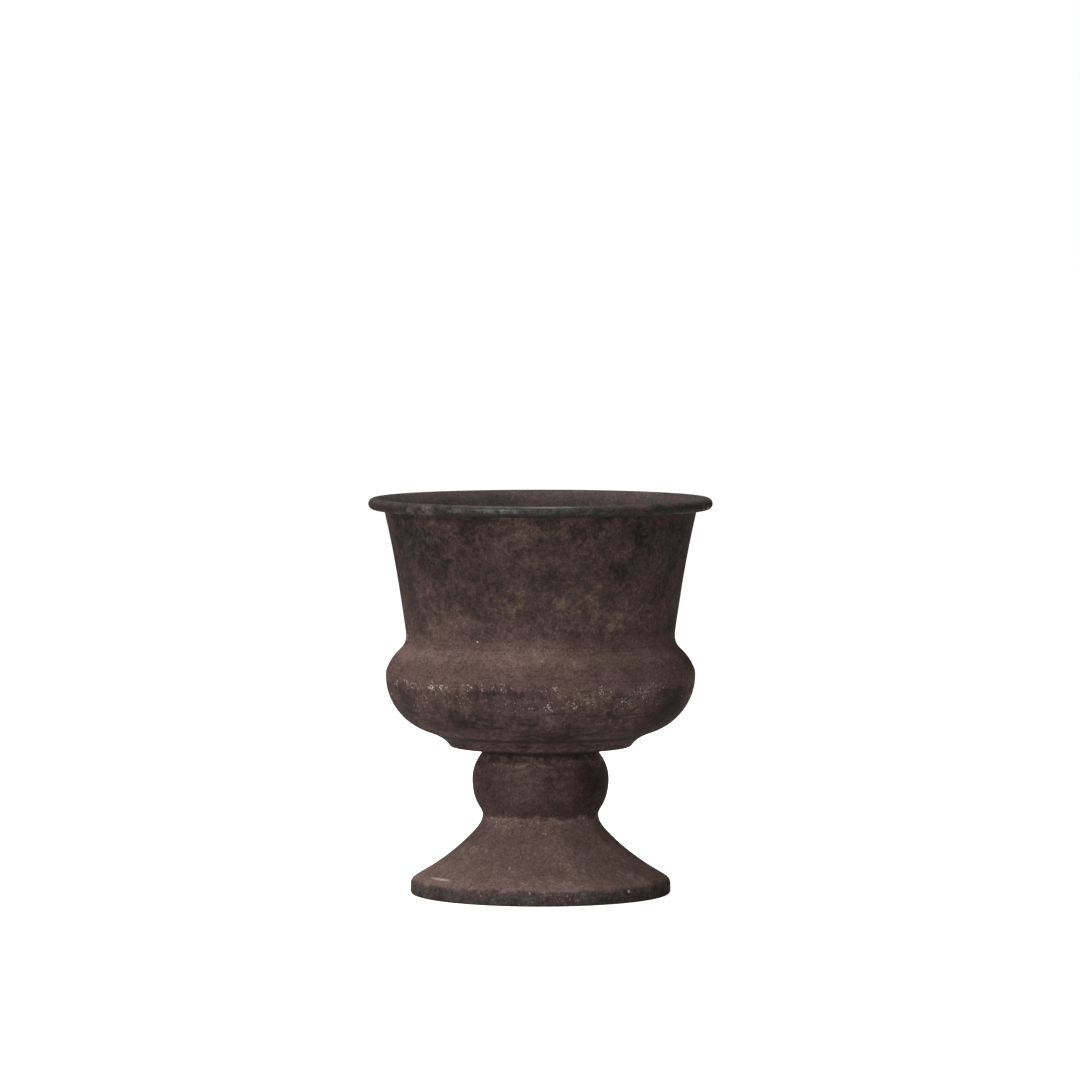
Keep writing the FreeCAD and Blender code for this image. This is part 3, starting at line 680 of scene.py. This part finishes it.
class AgedShell(Surface):
    """The shells' aged finish: brown with burnt, yellowish and pinkish blotches, dust, lime, a rubbed bead, and
    painted shade, shadow and highlights.
    """

    def __init__(self):
        super().__init__("aged_brown")
        graph, position = self.graph, self.position
        self.wear = bpy.context.scene.urn_wear
        self.profile = outer_profile()
        self.ragged = graph.group("Ragged position", position=position, reach=RAGGED_REACH, size=RAGGED_SIZE)
        self.speckle = graph.noise(position, 1 / SPECKLE_SIZE, 5.0, 0.72, 3.0)
        self.clouds = graph.noise(position, 1 / CLOUD_SIZE, 5.0, 0.62, 7.0)
        self.inside = graph.add("ShaderNodeAttribute", {}, "Fac", attribute_name="inside")
        tone = self.brown()
        marks = self.spin_marks()
        rubbed = self.rim_bead()
        self.foot_band()
        lime = self.lime_specks()
        self.sandy_surface(tone, marks, rubbed, lime)

    def band(self, low, high, soft, position=None):
        """The mask of a band of heights."""
        return self.graph.group("Height band", position=position or self.position, low=low, high=high, soft=soft)

    def zones(self, table):
        """The ragged masks of a table of zones, each with the zone's last value."""
        return [(self.band(*zone, self.ragged), value) for *zone, value in table]

    def stains(self, stains, position=None, stretch=EVEN, side=FRONT):
        """The strongest of a set of round spots (stains, and places of painted shade and highlight), which have
        ragged edges unless a position is given.
        """
        field = None
        for x, z, radius, strength in stains:
            across = x / 1000
            out = self.profile[min(self.profile, key=lambda level: abs(level - z))]
            depth = side * math.sqrt(max(out * out - across * across, 0.0))
            place = {"centre": (across, depth, z / 1000), "radius": radius / 1000, "strength": strength}
            mask = self.graph.group("Stain", position=position or self.ragged, stretch=stretch, **place)
            field = field.most(mask) if field else mask
        return field

    def tone_colour(self, tone):
        """The finish's colour for a tone, from burnt charcoal through brown to pale dust."""
        finish = self.finish
        tones = (
            (0.0, finish.soot), (0.22, finish.charcoal), (0.42, finish.brown_deep), (0.58, finish.brown),
            (0.74, finish.brown_warm), (0.9, finish.tan), (1.0, finish.dust),
        )
        colour = self.graph.add("ShaderNodeValToRGB", {0: tone})
        stops = colour.socket.node.color_ramp.elements
        while len(stops) < len(tones):
            stops.new(1.0)
        for stop, (place, shade) in zip(stops, tones):
            stop.position = place
            stop.color = shade
        return colour

    def brown(self):
        """Lays the ground: a speckled, blotched tone, tinted, with painted shade, filmed over inside. Returns the
        tone.
        """
        graph, wear, inside = self.graph, self.wear, self.inside
        calm = inside * INSIDE_CALM
        for zone, evenness in self.zones(CALM_ZONES):
            calm = calm.most(zone * evenness)
        wild = graph.ramp(calm, 0.0, 1.0, 1.0, CALM_SPECKLE)
        drift = graph.ramp(calm, 0.0, 1.0, 1.0, CALM_DRIFT)
        tone = (self.speckle - NOISE_MIDDLE) * (wild * wear.speckle)
        tone = tone + (self.clouds - NOISE_MIDDLE) * drift + NOISE_MIDDLE
        for zone, shift in self.zones(TONE_ZONES):
            tone = tone + zone * shift
        hue = graph.noise(self.position, 1 / HUE_SIZE, 5.0, 0.7, 13.0)
        for stains, least, gain, size, seed, tone_shift, hue_shift in BLOTCHES:
            amount = self.stains(stains) * gain + least
            if stains is CHARCOAL_STAINS:
                amount = amount + (NOISE_MIDDLE - self.clouds) * CLOUD_BURN
                amount = amount - self.stains(CLEAR_PLACES) * CLEARING
            blotch = self.patchy(amount * wild, size, seed, soft=0.04, detail=6.0)
            tone = tone + blotch * tone_shift
            hue = hue + blotch * hue_shift
        tone = tone - inside * INSIDE_DARK
        self.colour = self.tone_colour(tone)
        tint = graph.blend(graph.ramp(hue, 0.15, 0.8), self.finish.ochre_tint, self.finish.mauve_tint)
        self.lay(1.0, tint, "MULTIPLY")
        # Painted shade: the sides turned away from the light are darkened towards black
        self.lay(graph.ramp(self.stains(PAINTED_SHADES), 0.0, 1.0, 0.0, wear.shade), BLACK)
        self.lay(inside * wear.film, self.finish.inside_dust)
        return tone

    def spin_marks(self):
        """Lays fine dark lines left by spinning, painted shade in the cove and painted shadow under the bowl.
        Returns their mask.
        """
        graph, wear = self.graph, self.wear
        around = graph.vector("MULTIPLY", self.position, SPIN_MARK_SHAPE)
        lines = graph.ramp(graph.noise(around, 1 / SPIN_MARK_SIZE, 2.0, 0.5, 53.0), 0.54, 0.66)
        dish = self.band(BASE_Z, SEAM_Z - 0.008, 0.01)
        shoulder = self.band(SEAM_Z + 0.01, NECK_Z, 0.01)
        marks = lines * (dish.most(shoulder * 0.4) * wear.spin_marks)
        # Painted shade: a dark line in the cove's concave corner round the dish
        cove = self.band(COVE_Z - 0.0007, COVE_Z + 0.0007, 0.0014)
        marks = marks.most(cove * graph.ramp(self.clouds, 0.35, 0.6, 0.35, 0.7))
        # Painted shadow: a dark band on the knop's top, just under the bowl
        marks = marks.most(self.band(BASE_Z - 0.0035, BASE_Z + 0.0002, 0.002) * UNDER_BOWL_SHADOW)
        self.lay(marks, self.finish.soot)
        return marks

    def rim_bead(self):
        """Lays the bead's stain, rubs, wear with painted sheen and glints, painted shadow below it, dust. Returns
        where it is rubbed.
        """
        graph, finish, wear = self.graph, self.finish, self.wear
        ring = {"ring_radius": RIM_RADIUS, "ring_height": RIM_Z}
        from_wire = graph.group("Ring distance", position=self.position, **ring)
        bead = graph.ramp(from_wire, BEAD_RADIUS, BEAD_RADIUS + 0.0012, 1.0, 0.0)
        self.lay(bead * BEAD_STAIN, finish.charcoal)
        amount = self.stains(BEAD_RUBS) * 0.3 + 0.4
        rubbed = bead * self.patchy(amount, 0.012, 61.0, soft=0.06, position=self.ragged)
        rub = graph.blend(graph.ramp(self.speckle, 0.4, 0.65), finish.bead, finish.bead_pale)
        self.lay(rubbed * wear.bead_rub, rub)
        # Real wear on the bead's edge, painted pale also as a painted highlight where the light glints
        edge = self.band(RIM_Z - 0.0008, RIM_Z + 0.0012, 0.0012)
        worn_sheen = edge * self.stains(BEAD_WEAR_SHEEN) * bead * graph.ramp(self.speckle, 0.38, 0.6, 0.3, 1.0)
        self.lay(worn_sheen, finish.bead_worn_sheen)
        # Painted glints: fine bright specks along the edge, in the lime colour
        self.lay(self.patchy(worn_sheen * 0.45, 0.0013, 63.0, soft=0.03, detail=3.0) * worn_sheen, finish.lime)
        # Painted shadow: darkening in the crease under the bead and on the bead's underside, in the soot colour
        crease = graph.ramp(from_wire, BEAD_RADIUS + 0.0006, BEAD_RADIUS + 0.003, 1.0, 0.0) * (1.0 - bead)
        crease = crease.most(self.band(RIM_Z - BEAD_RADIUS, RIM_Z - 0.0028, 0.0014) * 0.7)
        self.lay(crease * (1.0 - self.inside) * CREASE_SHADOW, finish.soot)
        dusty = (bead * self.stains(BEAD_DUST)).most(self.inside * self.stains(FAR_DUST, side=BACK))
        self.lay(dusty * self.patchy(0.5, 0.003, 67.0, soft=0.1) * wear.dust, finish.dust)
        return rubbed

    def foot_band(self):
        """Lays grey grime round the foot's band, darker where it is smeared."""
        graph, finish = self.graph, self.finish
        smears = self.stains(BAND_GRIME)
        grimy = self.band(0.0, 0.0095, 0.0035) * self.patchy(smears * 0.3 + 0.58, 0.006, 71.0)
        pale = graph.ramp(self.speckle, 0.3, 0.7) * graph.ramp(smears, 0.0, 1.0, 1.0, 0.4)
        self.lay(grimy * self.wear.grime, graph.blend(pale, finish.charcoal, finish.grime))

    def lime_specks(self):
        """Lays fine lime along the seams, single spots, and the scuff on the foot, a pale streak that is partly a
        painted highlight. Returns their mask.
        """
        graph = self.graph
        amount = self.stains(LIME_CLUSTERS) * 0.36
        for zone, most in self.zones(LIME_ZONES):
            amount = amount.most(zone * most)
        amount = amount * graph.ramp(self.clouds, 0.4, 0.6, 0.7, 1.3)
        specks = graph.ramp(amount, 0.02, 0.1) * self.patchy(amount, 0.0014, 91.0, soft=0.05, detail=3.0)
        spots = self.stains(LIME_SPOTS, self.position)
        # The scuff is partly a painted highlight: a pale streak on the foot's shoulder
        scuff_highlights = self.stains(SCUFF_HIGHLIGHTS, self.position, SCUFF_HIGHLIGHT_STRETCH)
        lime = (specks * self.wear.lime).most(spots.most(scuff_highlights))
        self.lay(lime, self.finish.lime)
        return lime

    def sandy_surface(self, tone, marks, rubbed, lime):
        """Darkens the colour in the sandy grain, and sets the gloss and the bump."""
        graph = self.graph
        grain = graph.group("Sand grain", position=self.position, size=GRAIN_SIZE)
        span = {"Value": grain.other("Shade"), "To Min": 0.55, "To Max": 1.45}
        shade = graph.add("ShaderNodeMapRange", span) * graph.ramp(grain.other("Pits"), 0.0, 1.0, 1.0, 0.4)
        self.lay(1.0, graph.add("ShaderNodeCombineColor", {0: shade, 1: shade, 2: shade}), "MULTIPLY")
        height = grain * graph.ramp(rubbed, 0.0, 1.0, 1.0, 0.3)
        height = height + lime * 0.5 + self.speckle * 0.6 - marks * 0.4
        gloss = {
            "Roughness": graph.ramp(tone, 0.2, 0.9, 0.72, 0.9) - rubbed * 0.2,
            "Specular IOR Level": 0.06,
            "Coat Weight": rubbed * graph.ramp(self.clouds, 0.38, 0.58, 0.25, 0.05),
            "Coat Roughness": 0.24,
        }
        self.dress(gloss, height, 0.0006, 0.55)


def lime_material():
    """Chalky off-white lime that has crusted on the seams."""
    finish = bpy.context.scene.urn_finish
    surface = Surface("lime_crust", finish.lime_deep)
    tone = surface.patchy(0.36, 0.0015, 15.0, soft=0.2)
    surface.lay(tone, finish.lime)
    surface.dress({"Roughness": surface.graph.ramp(tone, 0.0, 1.0, 0.95, 0.8)}, tone, 0.0001)


def painted_weld_material():
    """Weld beads under the aged finish: darker, with soot and rust in their ripples."""
    finish = bpy.context.scene.urn_finish
    surface = Surface("sooty_weld", finish.brown_deep)
    graph = surface.graph
    soot = surface.patchy(0.42, 0.003, 35.0, soft=0.1)
    surface.lay(surface.patchy(0.5, 0.006, 25.0, soft=0.14), finish.brown)
    surface.lay(soot * 0.8, finish.charcoal)
    surface.lay(surface.patchy(0.3, 0.002, 45.0) * 0.7, finish.rust)
    grain = graph.group("Sand grain", position=surface.position)
    surface.dress({"Roughness": graph.ramp(soot, 0.0, 1.0, 0.75, 0.55)}, grain, 0.0004)


def bare_steel_material(name, clean, dark, rust_amount, roughness, metallic):
    """Bare steel with drawn marks, dulled patches and blooms of rust."""
    surface = Surface(name, dark)
    stretched = surface.graph.vector("MULTIPLY", surface.position, (1.0, 9.0, 9.0))
    drawn = surface.patchy(0.5, 0.004, 55.0, soft=0.2, position=stretched)
    dull = surface.patchy(0.48, 0.004, 65.0, soft=0.12)
    rust = surface.patchy(rust_amount, 0.003, 75.0, soft=0.07, detail=7.0)
    surface.lay(drawn, clean)
    surface.lay(dull * 0.6, dark)
    surface.lay(rust * 0.9, surface.finish.rust)
    gloss = {"Metallic": (1.0 - rust) * metallic, "Roughness": dull * 0.18 + rust * 0.35 + roughness}
    surface.dress(gloss, drawn * 0.3 + rust, 0.0001)


def floor_material(colour, glow):
    """A pale, faintly uneven studio floor."""
    surface = Surface("studio_floor", tuple(share * FLOOR_DIP for share in colour[:3]) + (1.0,))
    graph = surface.graph
    surface.lay(surface.patchy(0.5, 0.6, 85.0, soft=0.3, detail=2.0), colour)
    seen = graph.add("ShaderNodeLightPath", {}, "Is Camera Ray")
    outside = graph.ramp(graph.length(surface.position), FOOT_RADIUS - 0.02, FOOT_RADIUS - 0.01, 0.0, glow)
    graph.feed(surface.shader, {
        "Base Color": surface.colour,
        "Roughness": 0.9,
        "Specular IOR Level": 0.1,
        "Emission Color": colour,
        "Emission Strength": seen * outside,
    })
    return surface.material


# Properties

def a_number(name, description, value, **kind):
    """A number that a user may change."""
    return FloatProperty(name=name, description=description, default=value, **kind)


def a_length(name, description, value):
    """A length that a user may change."""
    return a_number(name, description, value, unit="LENGTH", precision=5)


def a_colour(name, description, value):
    """A colour that a user may change."""
    kind = {"subtype": "COLOR", "size": 4, "min": 0, "max": 1}
    return FloatVectorProperty(name=name, description=description, default=(*value, 1.0), **kind)


class UrnShape(bpy.types.PropertyGroup):
    """How the shells are spun, and how far hand work leaves them from true."""

    segments: IntProperty(name="Segments", description="Faces round one turn", default=256, min=48)
    section_step: a_length("Section step", "Longest face along a section", 0.0016)
    dent_depth: a_length("Dent depth", "How deep the soft dents go", 0.00035)
    dent_size: a_length("Dent size", "How far apart the soft dents are", 0.045)
    still_radius: a_length("Still radius", "Inside this radius nothing is dented", 0.034)
    seed: IntProperty(name="Seed", description="Which pattern of dents", default=4)
    sharp_angle: a_number("Sharp angle", "Folds past this stay crisp", 0.7, subtype="ANGLE")
    drain_count: IntProperty(name="Drain holes", description="Holes in the bowl's floor", default=4)
    drain_radius: a_length("Drain radius", "Radius of a drain hole", 0.004)
    drain_circle: a_length("Drain circle", "Radius of the circle of drain holes", 0.024)
    drain_angle: a_number("Drain angle", "Where the first drain is", math.pi / 4, subtype="ANGLE")
    weld_ripple: a_length("Weld ripple", "Depth of the ripples on the weld beads", 0.0004)


class UrnCrust(bpy.types.PropertyGroup):
    """The lime chips along the seams."""

    chip_size: a_length("Chip size", "Half the width of the largest chips", 0.0007)
    density: a_number("Density", "Chips on a square metre of a full band", 700000.0)
    seed: IntProperty(name="Seed", description="Which scatter of chips", default=3)


class UrnWear(bpy.types.PropertyGroup):
    """How strongly each mark of age, and the painted shade, is laid on."""

    speckle: a_number("Speckle", "How far the speckle shifts the tone", 1.15)
    # Strength of the painted shade on the sides turned away from the light
    shade: a_number("Shade", "How dark the shaded places get", 0.5)
    film: a_number("Film", "The dull film inside", 0.38)
    spin_marks: a_number("Spin marks", "Soot in the lines left by spinning", 0.6)
    bead_rub: a_number("Bead rub", "The rubbed black on the bead", 0.9)
    dust: a_number("Dust", "Dust on the bead and the far wall", 0.42)
    grime: a_number("Grime", "Grime on the foot's band", 0.9)
    lime: a_number("Lime", "The fine lime specks", 0.7)


class UrnFinish(bpy.types.PropertyGroup):
    """The colours of the aged finish."""

    # Soot also paints shade and shadow: in the cove, under the bowl and under the bead
    soot: a_colour("Soot", "The finish's blackest tone", (0.018, 0.0155, 0.0145))
    charcoal: a_colour("Charcoal", "The burnt patches", (0.035, 0.028, 0.0255))
    brown_deep: a_colour("Deep brown", "The finish's darker tone", (0.058, 0.042, 0.039))
    brown: a_colour("Brown", "The finish's middle tone", (0.086, 0.060, 0.054))
    brown_warm: a_colour("Warm brown", "The finish's warmer tone", (0.120, 0.086, 0.076))
    tan: a_colour("Tan", "The finish's pale tone", (0.168, 0.126, 0.109))
    dust: a_colour("Dust", "The palest tone, and dust on the rim", (0.24, 0.19, 0.166))
    ochre_tint: a_colour("Ochre tint", "How the yellowish stains tint the finish", (1.0, 0.94, 0.81))
    mauve_tint: a_colour("Mauve tint", "How the pinkish bloom tints the finish", (1.0, 0.85, 0.92))
    bead: a_colour("Bead", "The rubbed rim bead", (0.016, 0.0155, 0.0158))
    bead_pale: a_colour("Pale bead", "Where the rubbed bead is greyer", (0.036, 0.034, 0.0335))
    # Also a painted sheen: this pale edge stands for the bead's highlight too
    bead_worn_sheen: a_colour("Worn bead", "The bead's edge where it is worn to metal", (0.13, 0.125, 0.12))
    grime: a_colour("Grime", "The foot band's grey grime", (0.082, 0.070, 0.065))
    inside_dust: a_colour("Inside dust", "The dull film inside the bowl", (0.050, 0.0405, 0.038))
    # Lime also paints the glints on the bead and the highlight streak on the foot
    lime: a_colour("Lime", "The lime crust", (0.62, 0.55, 0.47))
    lime_deep: a_colour("Deep lime", "The lime crust's stained tone", (0.36, 0.29, 0.22))
    rust: a_colour("Rust", "Rust on bare steel", (0.16, 0.055, 0.022))
    steel: a_colour("Steel", "Bare mild steel", (0.30, 0.29, 0.28))
    steel_dark: a_colour("Dark steel", "Scale on mild steel", (0.10, 0.095, 0.09))
    zinc: a_colour("Zinc", "Zinc plate", (0.22, 0.215, 0.205))
    zinc_dull: a_colour("Dull zinc", "Weathered zinc plate", (0.09, 0.086, 0.08))


class UrnStage(bpy.types.PropertyGroup):
    """The camera, the floor and the studio light."""

    camera_place: FloatVectorProperty(
        name="Camera", description="Where the camera stands", default=(-0.0004, -4.8985, 0.5425),
        subtype="XYZ", unit="LENGTH",
    )
    camera_tilt: a_number("Tilt", "How far the camera looks down", 0.056, subtype="ANGLE")
    lens: a_number("Lens", "Focal length in millimetres", 216.2)
    floor_size: a_length("Floor size", "Side of the floor", 60.0)
    floor_colour: a_colour("Floor", "The pale floor", (0.7, 0.7, 0.7))
    floor_glow: a_number("Floor glow", "How far the floor is lifted to white", 1.4)
    sky: a_number("Sky", "Strength of the even light all round", 0.09)
    key_power: a_number("Key", "Power of the large light at front left", 40.0, subtype="POWER")
    top_power: a_number("Top", "Power of the light overhead", 68.0, subtype="POWER")
    edge_power: a_number("Edge", "Power of the light at back left", 4.0, subtype="POWER")


# Operators

class URN_OT_materials(bpy.types.Operator):
    """Build the node trees and the urn's materials"""

    bl_idname = "urn.materials"
    bl_label = "Materials and node trees"

    def execute(self, context):
        finish = context.scene.urn_finish
        for make in (
            spun_sheet_tree, drain_holes_tree, lime_chips_tree, height_band_group, stain_group, patchy_group,
            sand_grain_group, ring_distance_group, ragged_position_group, AgedShell, lime_material,
            painted_weld_material,
        ):
            make()
        bare_steel_material("drawn_wire", finish.steel, finish.steel_dark, 0.42, 0.5, 0.8)
        bare_steel_material("bridge_steel", finish.steel, finish.steel_dark, 0.4, 0.5, 0.8)
        bare_steel_material("zinc_plate", finish.zinc, finish.zinc_dull, 0.38, 0.45, 0.7)
        return {"FINISHED"}


class URN_OT_shells(bpy.types.Operator):
    """Spin the bowl's wall, belly and dish, the stem's knop and the foot from their sections"""

    bl_idname = "urn.shells"
    bl_label = "Spun shells"

    def execute(self, context):
        for node in SHELLS:
            spun(node, "aged_brown", drains=node == "bowl_dish")
        return {"FINISHED"}


class URN_OT_rim_wire(bpy.types.Operator):
    """Spin the wire that the rim is rolled round"""

    bl_idname = "urn.rim_wire"
    bl_label = "Rim wire"

    def execute(self, context):
        spun("rim_wire", "drawn_wire")
        return {"FINISHED"}


class URN_OT_ring_welds(bpy.types.Operator):
    """Spin the weld beads of the seams, with ripples on the two inner ones"""

    bl_idname = "urn.ring_welds"
    bl_label = "Ring welds"

    def execute(self, context):
        depth = context.scene.urn_shape.weld_ripple
        spun("bowl_neck_weld", "sooty_weld", depth, NECK_RIPPLES)
        spun("stem_neck_weld", "sooty_weld", depth, STEM_RIPPLES)
        spun("belly_seam_weld", "aged_brown")
        return {"FINISHED"}


class URN_OT_fixings(bpy.types.Operator):
    """Finish the bridge bar, its welds, and the bolt with its washers and nut"""

    bl_idname = "urn.fixings"
    bl_label = "Bridge and fixings"

    def execute(self, context):
        finishes = {"stem_bridge": "bridge_steel", "bridge_welds": "sooty_weld"}
        finishes.update({node: "zinc_plate" for node in FASTENERS})
        for node, material in finishes.items():
            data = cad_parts[node].data
            data.materials.clear()
            data.materials.append(bpy.data.materials[material])
        return {"FINISHED"}


class URN_OT_lime_crust(bpy.types.Operator):
    """Scatter lime chips along the belly's line, its seam, the stem's crease and the foot's band"""

    bl_idname = "urn.lime_crust"
    bl_label = "Lime crust"

    def execute(self, context):
        for index, line in enumerate(LIME_LINES):
            chips(seed=context.scene.urn_crust.seed + index, **line)
        return {"FINISHED"}


# Lights: name, place, size, and the setting that holds the power
LIGHTS = (
    ("key_light", (-1.05, -1.95, 1.6), 1.0, "key_power"),
    ("top_light", (-0.25, 0.0, 2.2), 1.4, "top_power"),
    ("edge_light", (-1.6, 1.9, 1.5), 0.8, "edge_power"),
)
LIGHT_AIM = Vector((0.0, 0.0, 0.16))
SENSOR_WIDTH = 36.0
CLIP_END = 200.0


class URN_OT_stage(bpy.types.Operator):
    """Set the floor, the light and the camera"""

    bl_idname = "urn.stage"
    bl_label = "Stage"

    def execute(self, context):
        stage = context.scene.urn_stage
        half = stage.floor_size / 2
        corners = [(-half, -half, 0), (half, -half, 0), (half, half, 0), (-half, half, 0)]
        mesh = bpy.data.meshes.new("studio_floor")
        mesh.from_pydata(corners, [], [(0, 1, 2, 3)])
        mesh.materials.append(floor_material(stage.floor_colour, stage.floor_glow))
        placed("studio_floor", mesh)
        world = bpy.data.worlds.new("studio")
        world.use_nodes = True
        graph = Graph(world.node_tree)
        seen = graph.add("ShaderNodeLightPath", {}, "Is Camera Ray")
        sky = {"Color": WHITE, "Strength": graph.ramp(seen, 0.0, 1.0, stage.sky, 1.0)}
        graph.feed(world.node_tree.nodes["Background"], sky)
        context.scene.world = world
        context.scene.view_settings.view_transform = "Standard"
        for name, place, size, power in LIGHTS:
            data = bpy.data.lights.new(name, "AREA")
            data.size = size
            data.energy = getattr(stage, power)
            lamp = placed(name, data)
            lamp.location = place
            lamp.rotation_euler = (LIGHT_AIM - Vector(place)).to_track_quat("-Z", "Y").to_euler()
        camera = placed("camera", bpy.data.cameras.new("camera"))
        camera.data.lens = stage.lens
        camera.data.sensor_width = SENSOR_WIDTH
        camera.data.clip_end = CLIP_END
        camera.location = stage.camera_place
        camera.rotation_euler = (math.pi / 2 - stage.camera_tilt, 0.0, 0.0)
        context.scene.camera = camera
        return {"FINISHED"}


class URN_PT_panel(bpy.types.Panel):
    """Lists the urn's settings and steps"""

    bl_idname = "URN_PT_panel"
    bl_label = "Urn"
    bl_space_type = "VIEW_3D"
    bl_region_type = "UI"
    bl_category = "Urn"

    def draw(self, context):
        for group in GROUPS:
            settings = getattr(context.scene, group)
            box = self.layout.box()
            for name in settings.__annotations__:
                box.prop(settings, name)
        for step in STEPS:
            self.layout.operator(step.bl_idname)


GROUPS = {
    "urn_shape": UrnShape, "urn_crust": UrnCrust, "urn_wear": UrnWear, "urn_finish": UrnFinish,
    "urn_stage": UrnStage,
}
STEPS = (
    URN_OT_materials, URN_OT_shells, URN_OT_rim_wire, URN_OT_ring_welds, URN_OT_fixings, URN_OT_lime_crust,
    URN_OT_stage,
)


def register():
    """Registers the classes and hangs the settings on the scene."""
    for group in (*GROUPS.values(), *STEPS, URN_PT_panel):
        bpy.utils.register_class(group)
    for name, group in GROUPS.items():
        setattr(bpy.types.Scene, name, PointerProperty(type=group))


def unregister():
    """Takes the settings off the scene and unregisters the classes."""
    for name in GROUPS:
        delattr(bpy.types.Scene, name)
    for group in (URN_PT_panel, *reversed(STEPS), *reversed(GROUPS.values())):
        bpy.utils.unregister_class(group)


def main():
    """Registers the add-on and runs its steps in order."""
    register()
    for step in STEPS:
        family, name = step.bl_idname.split(".")
        getattr(getattr(bpy.ops, family), name)()


if __name__ == "__main__":
    main()
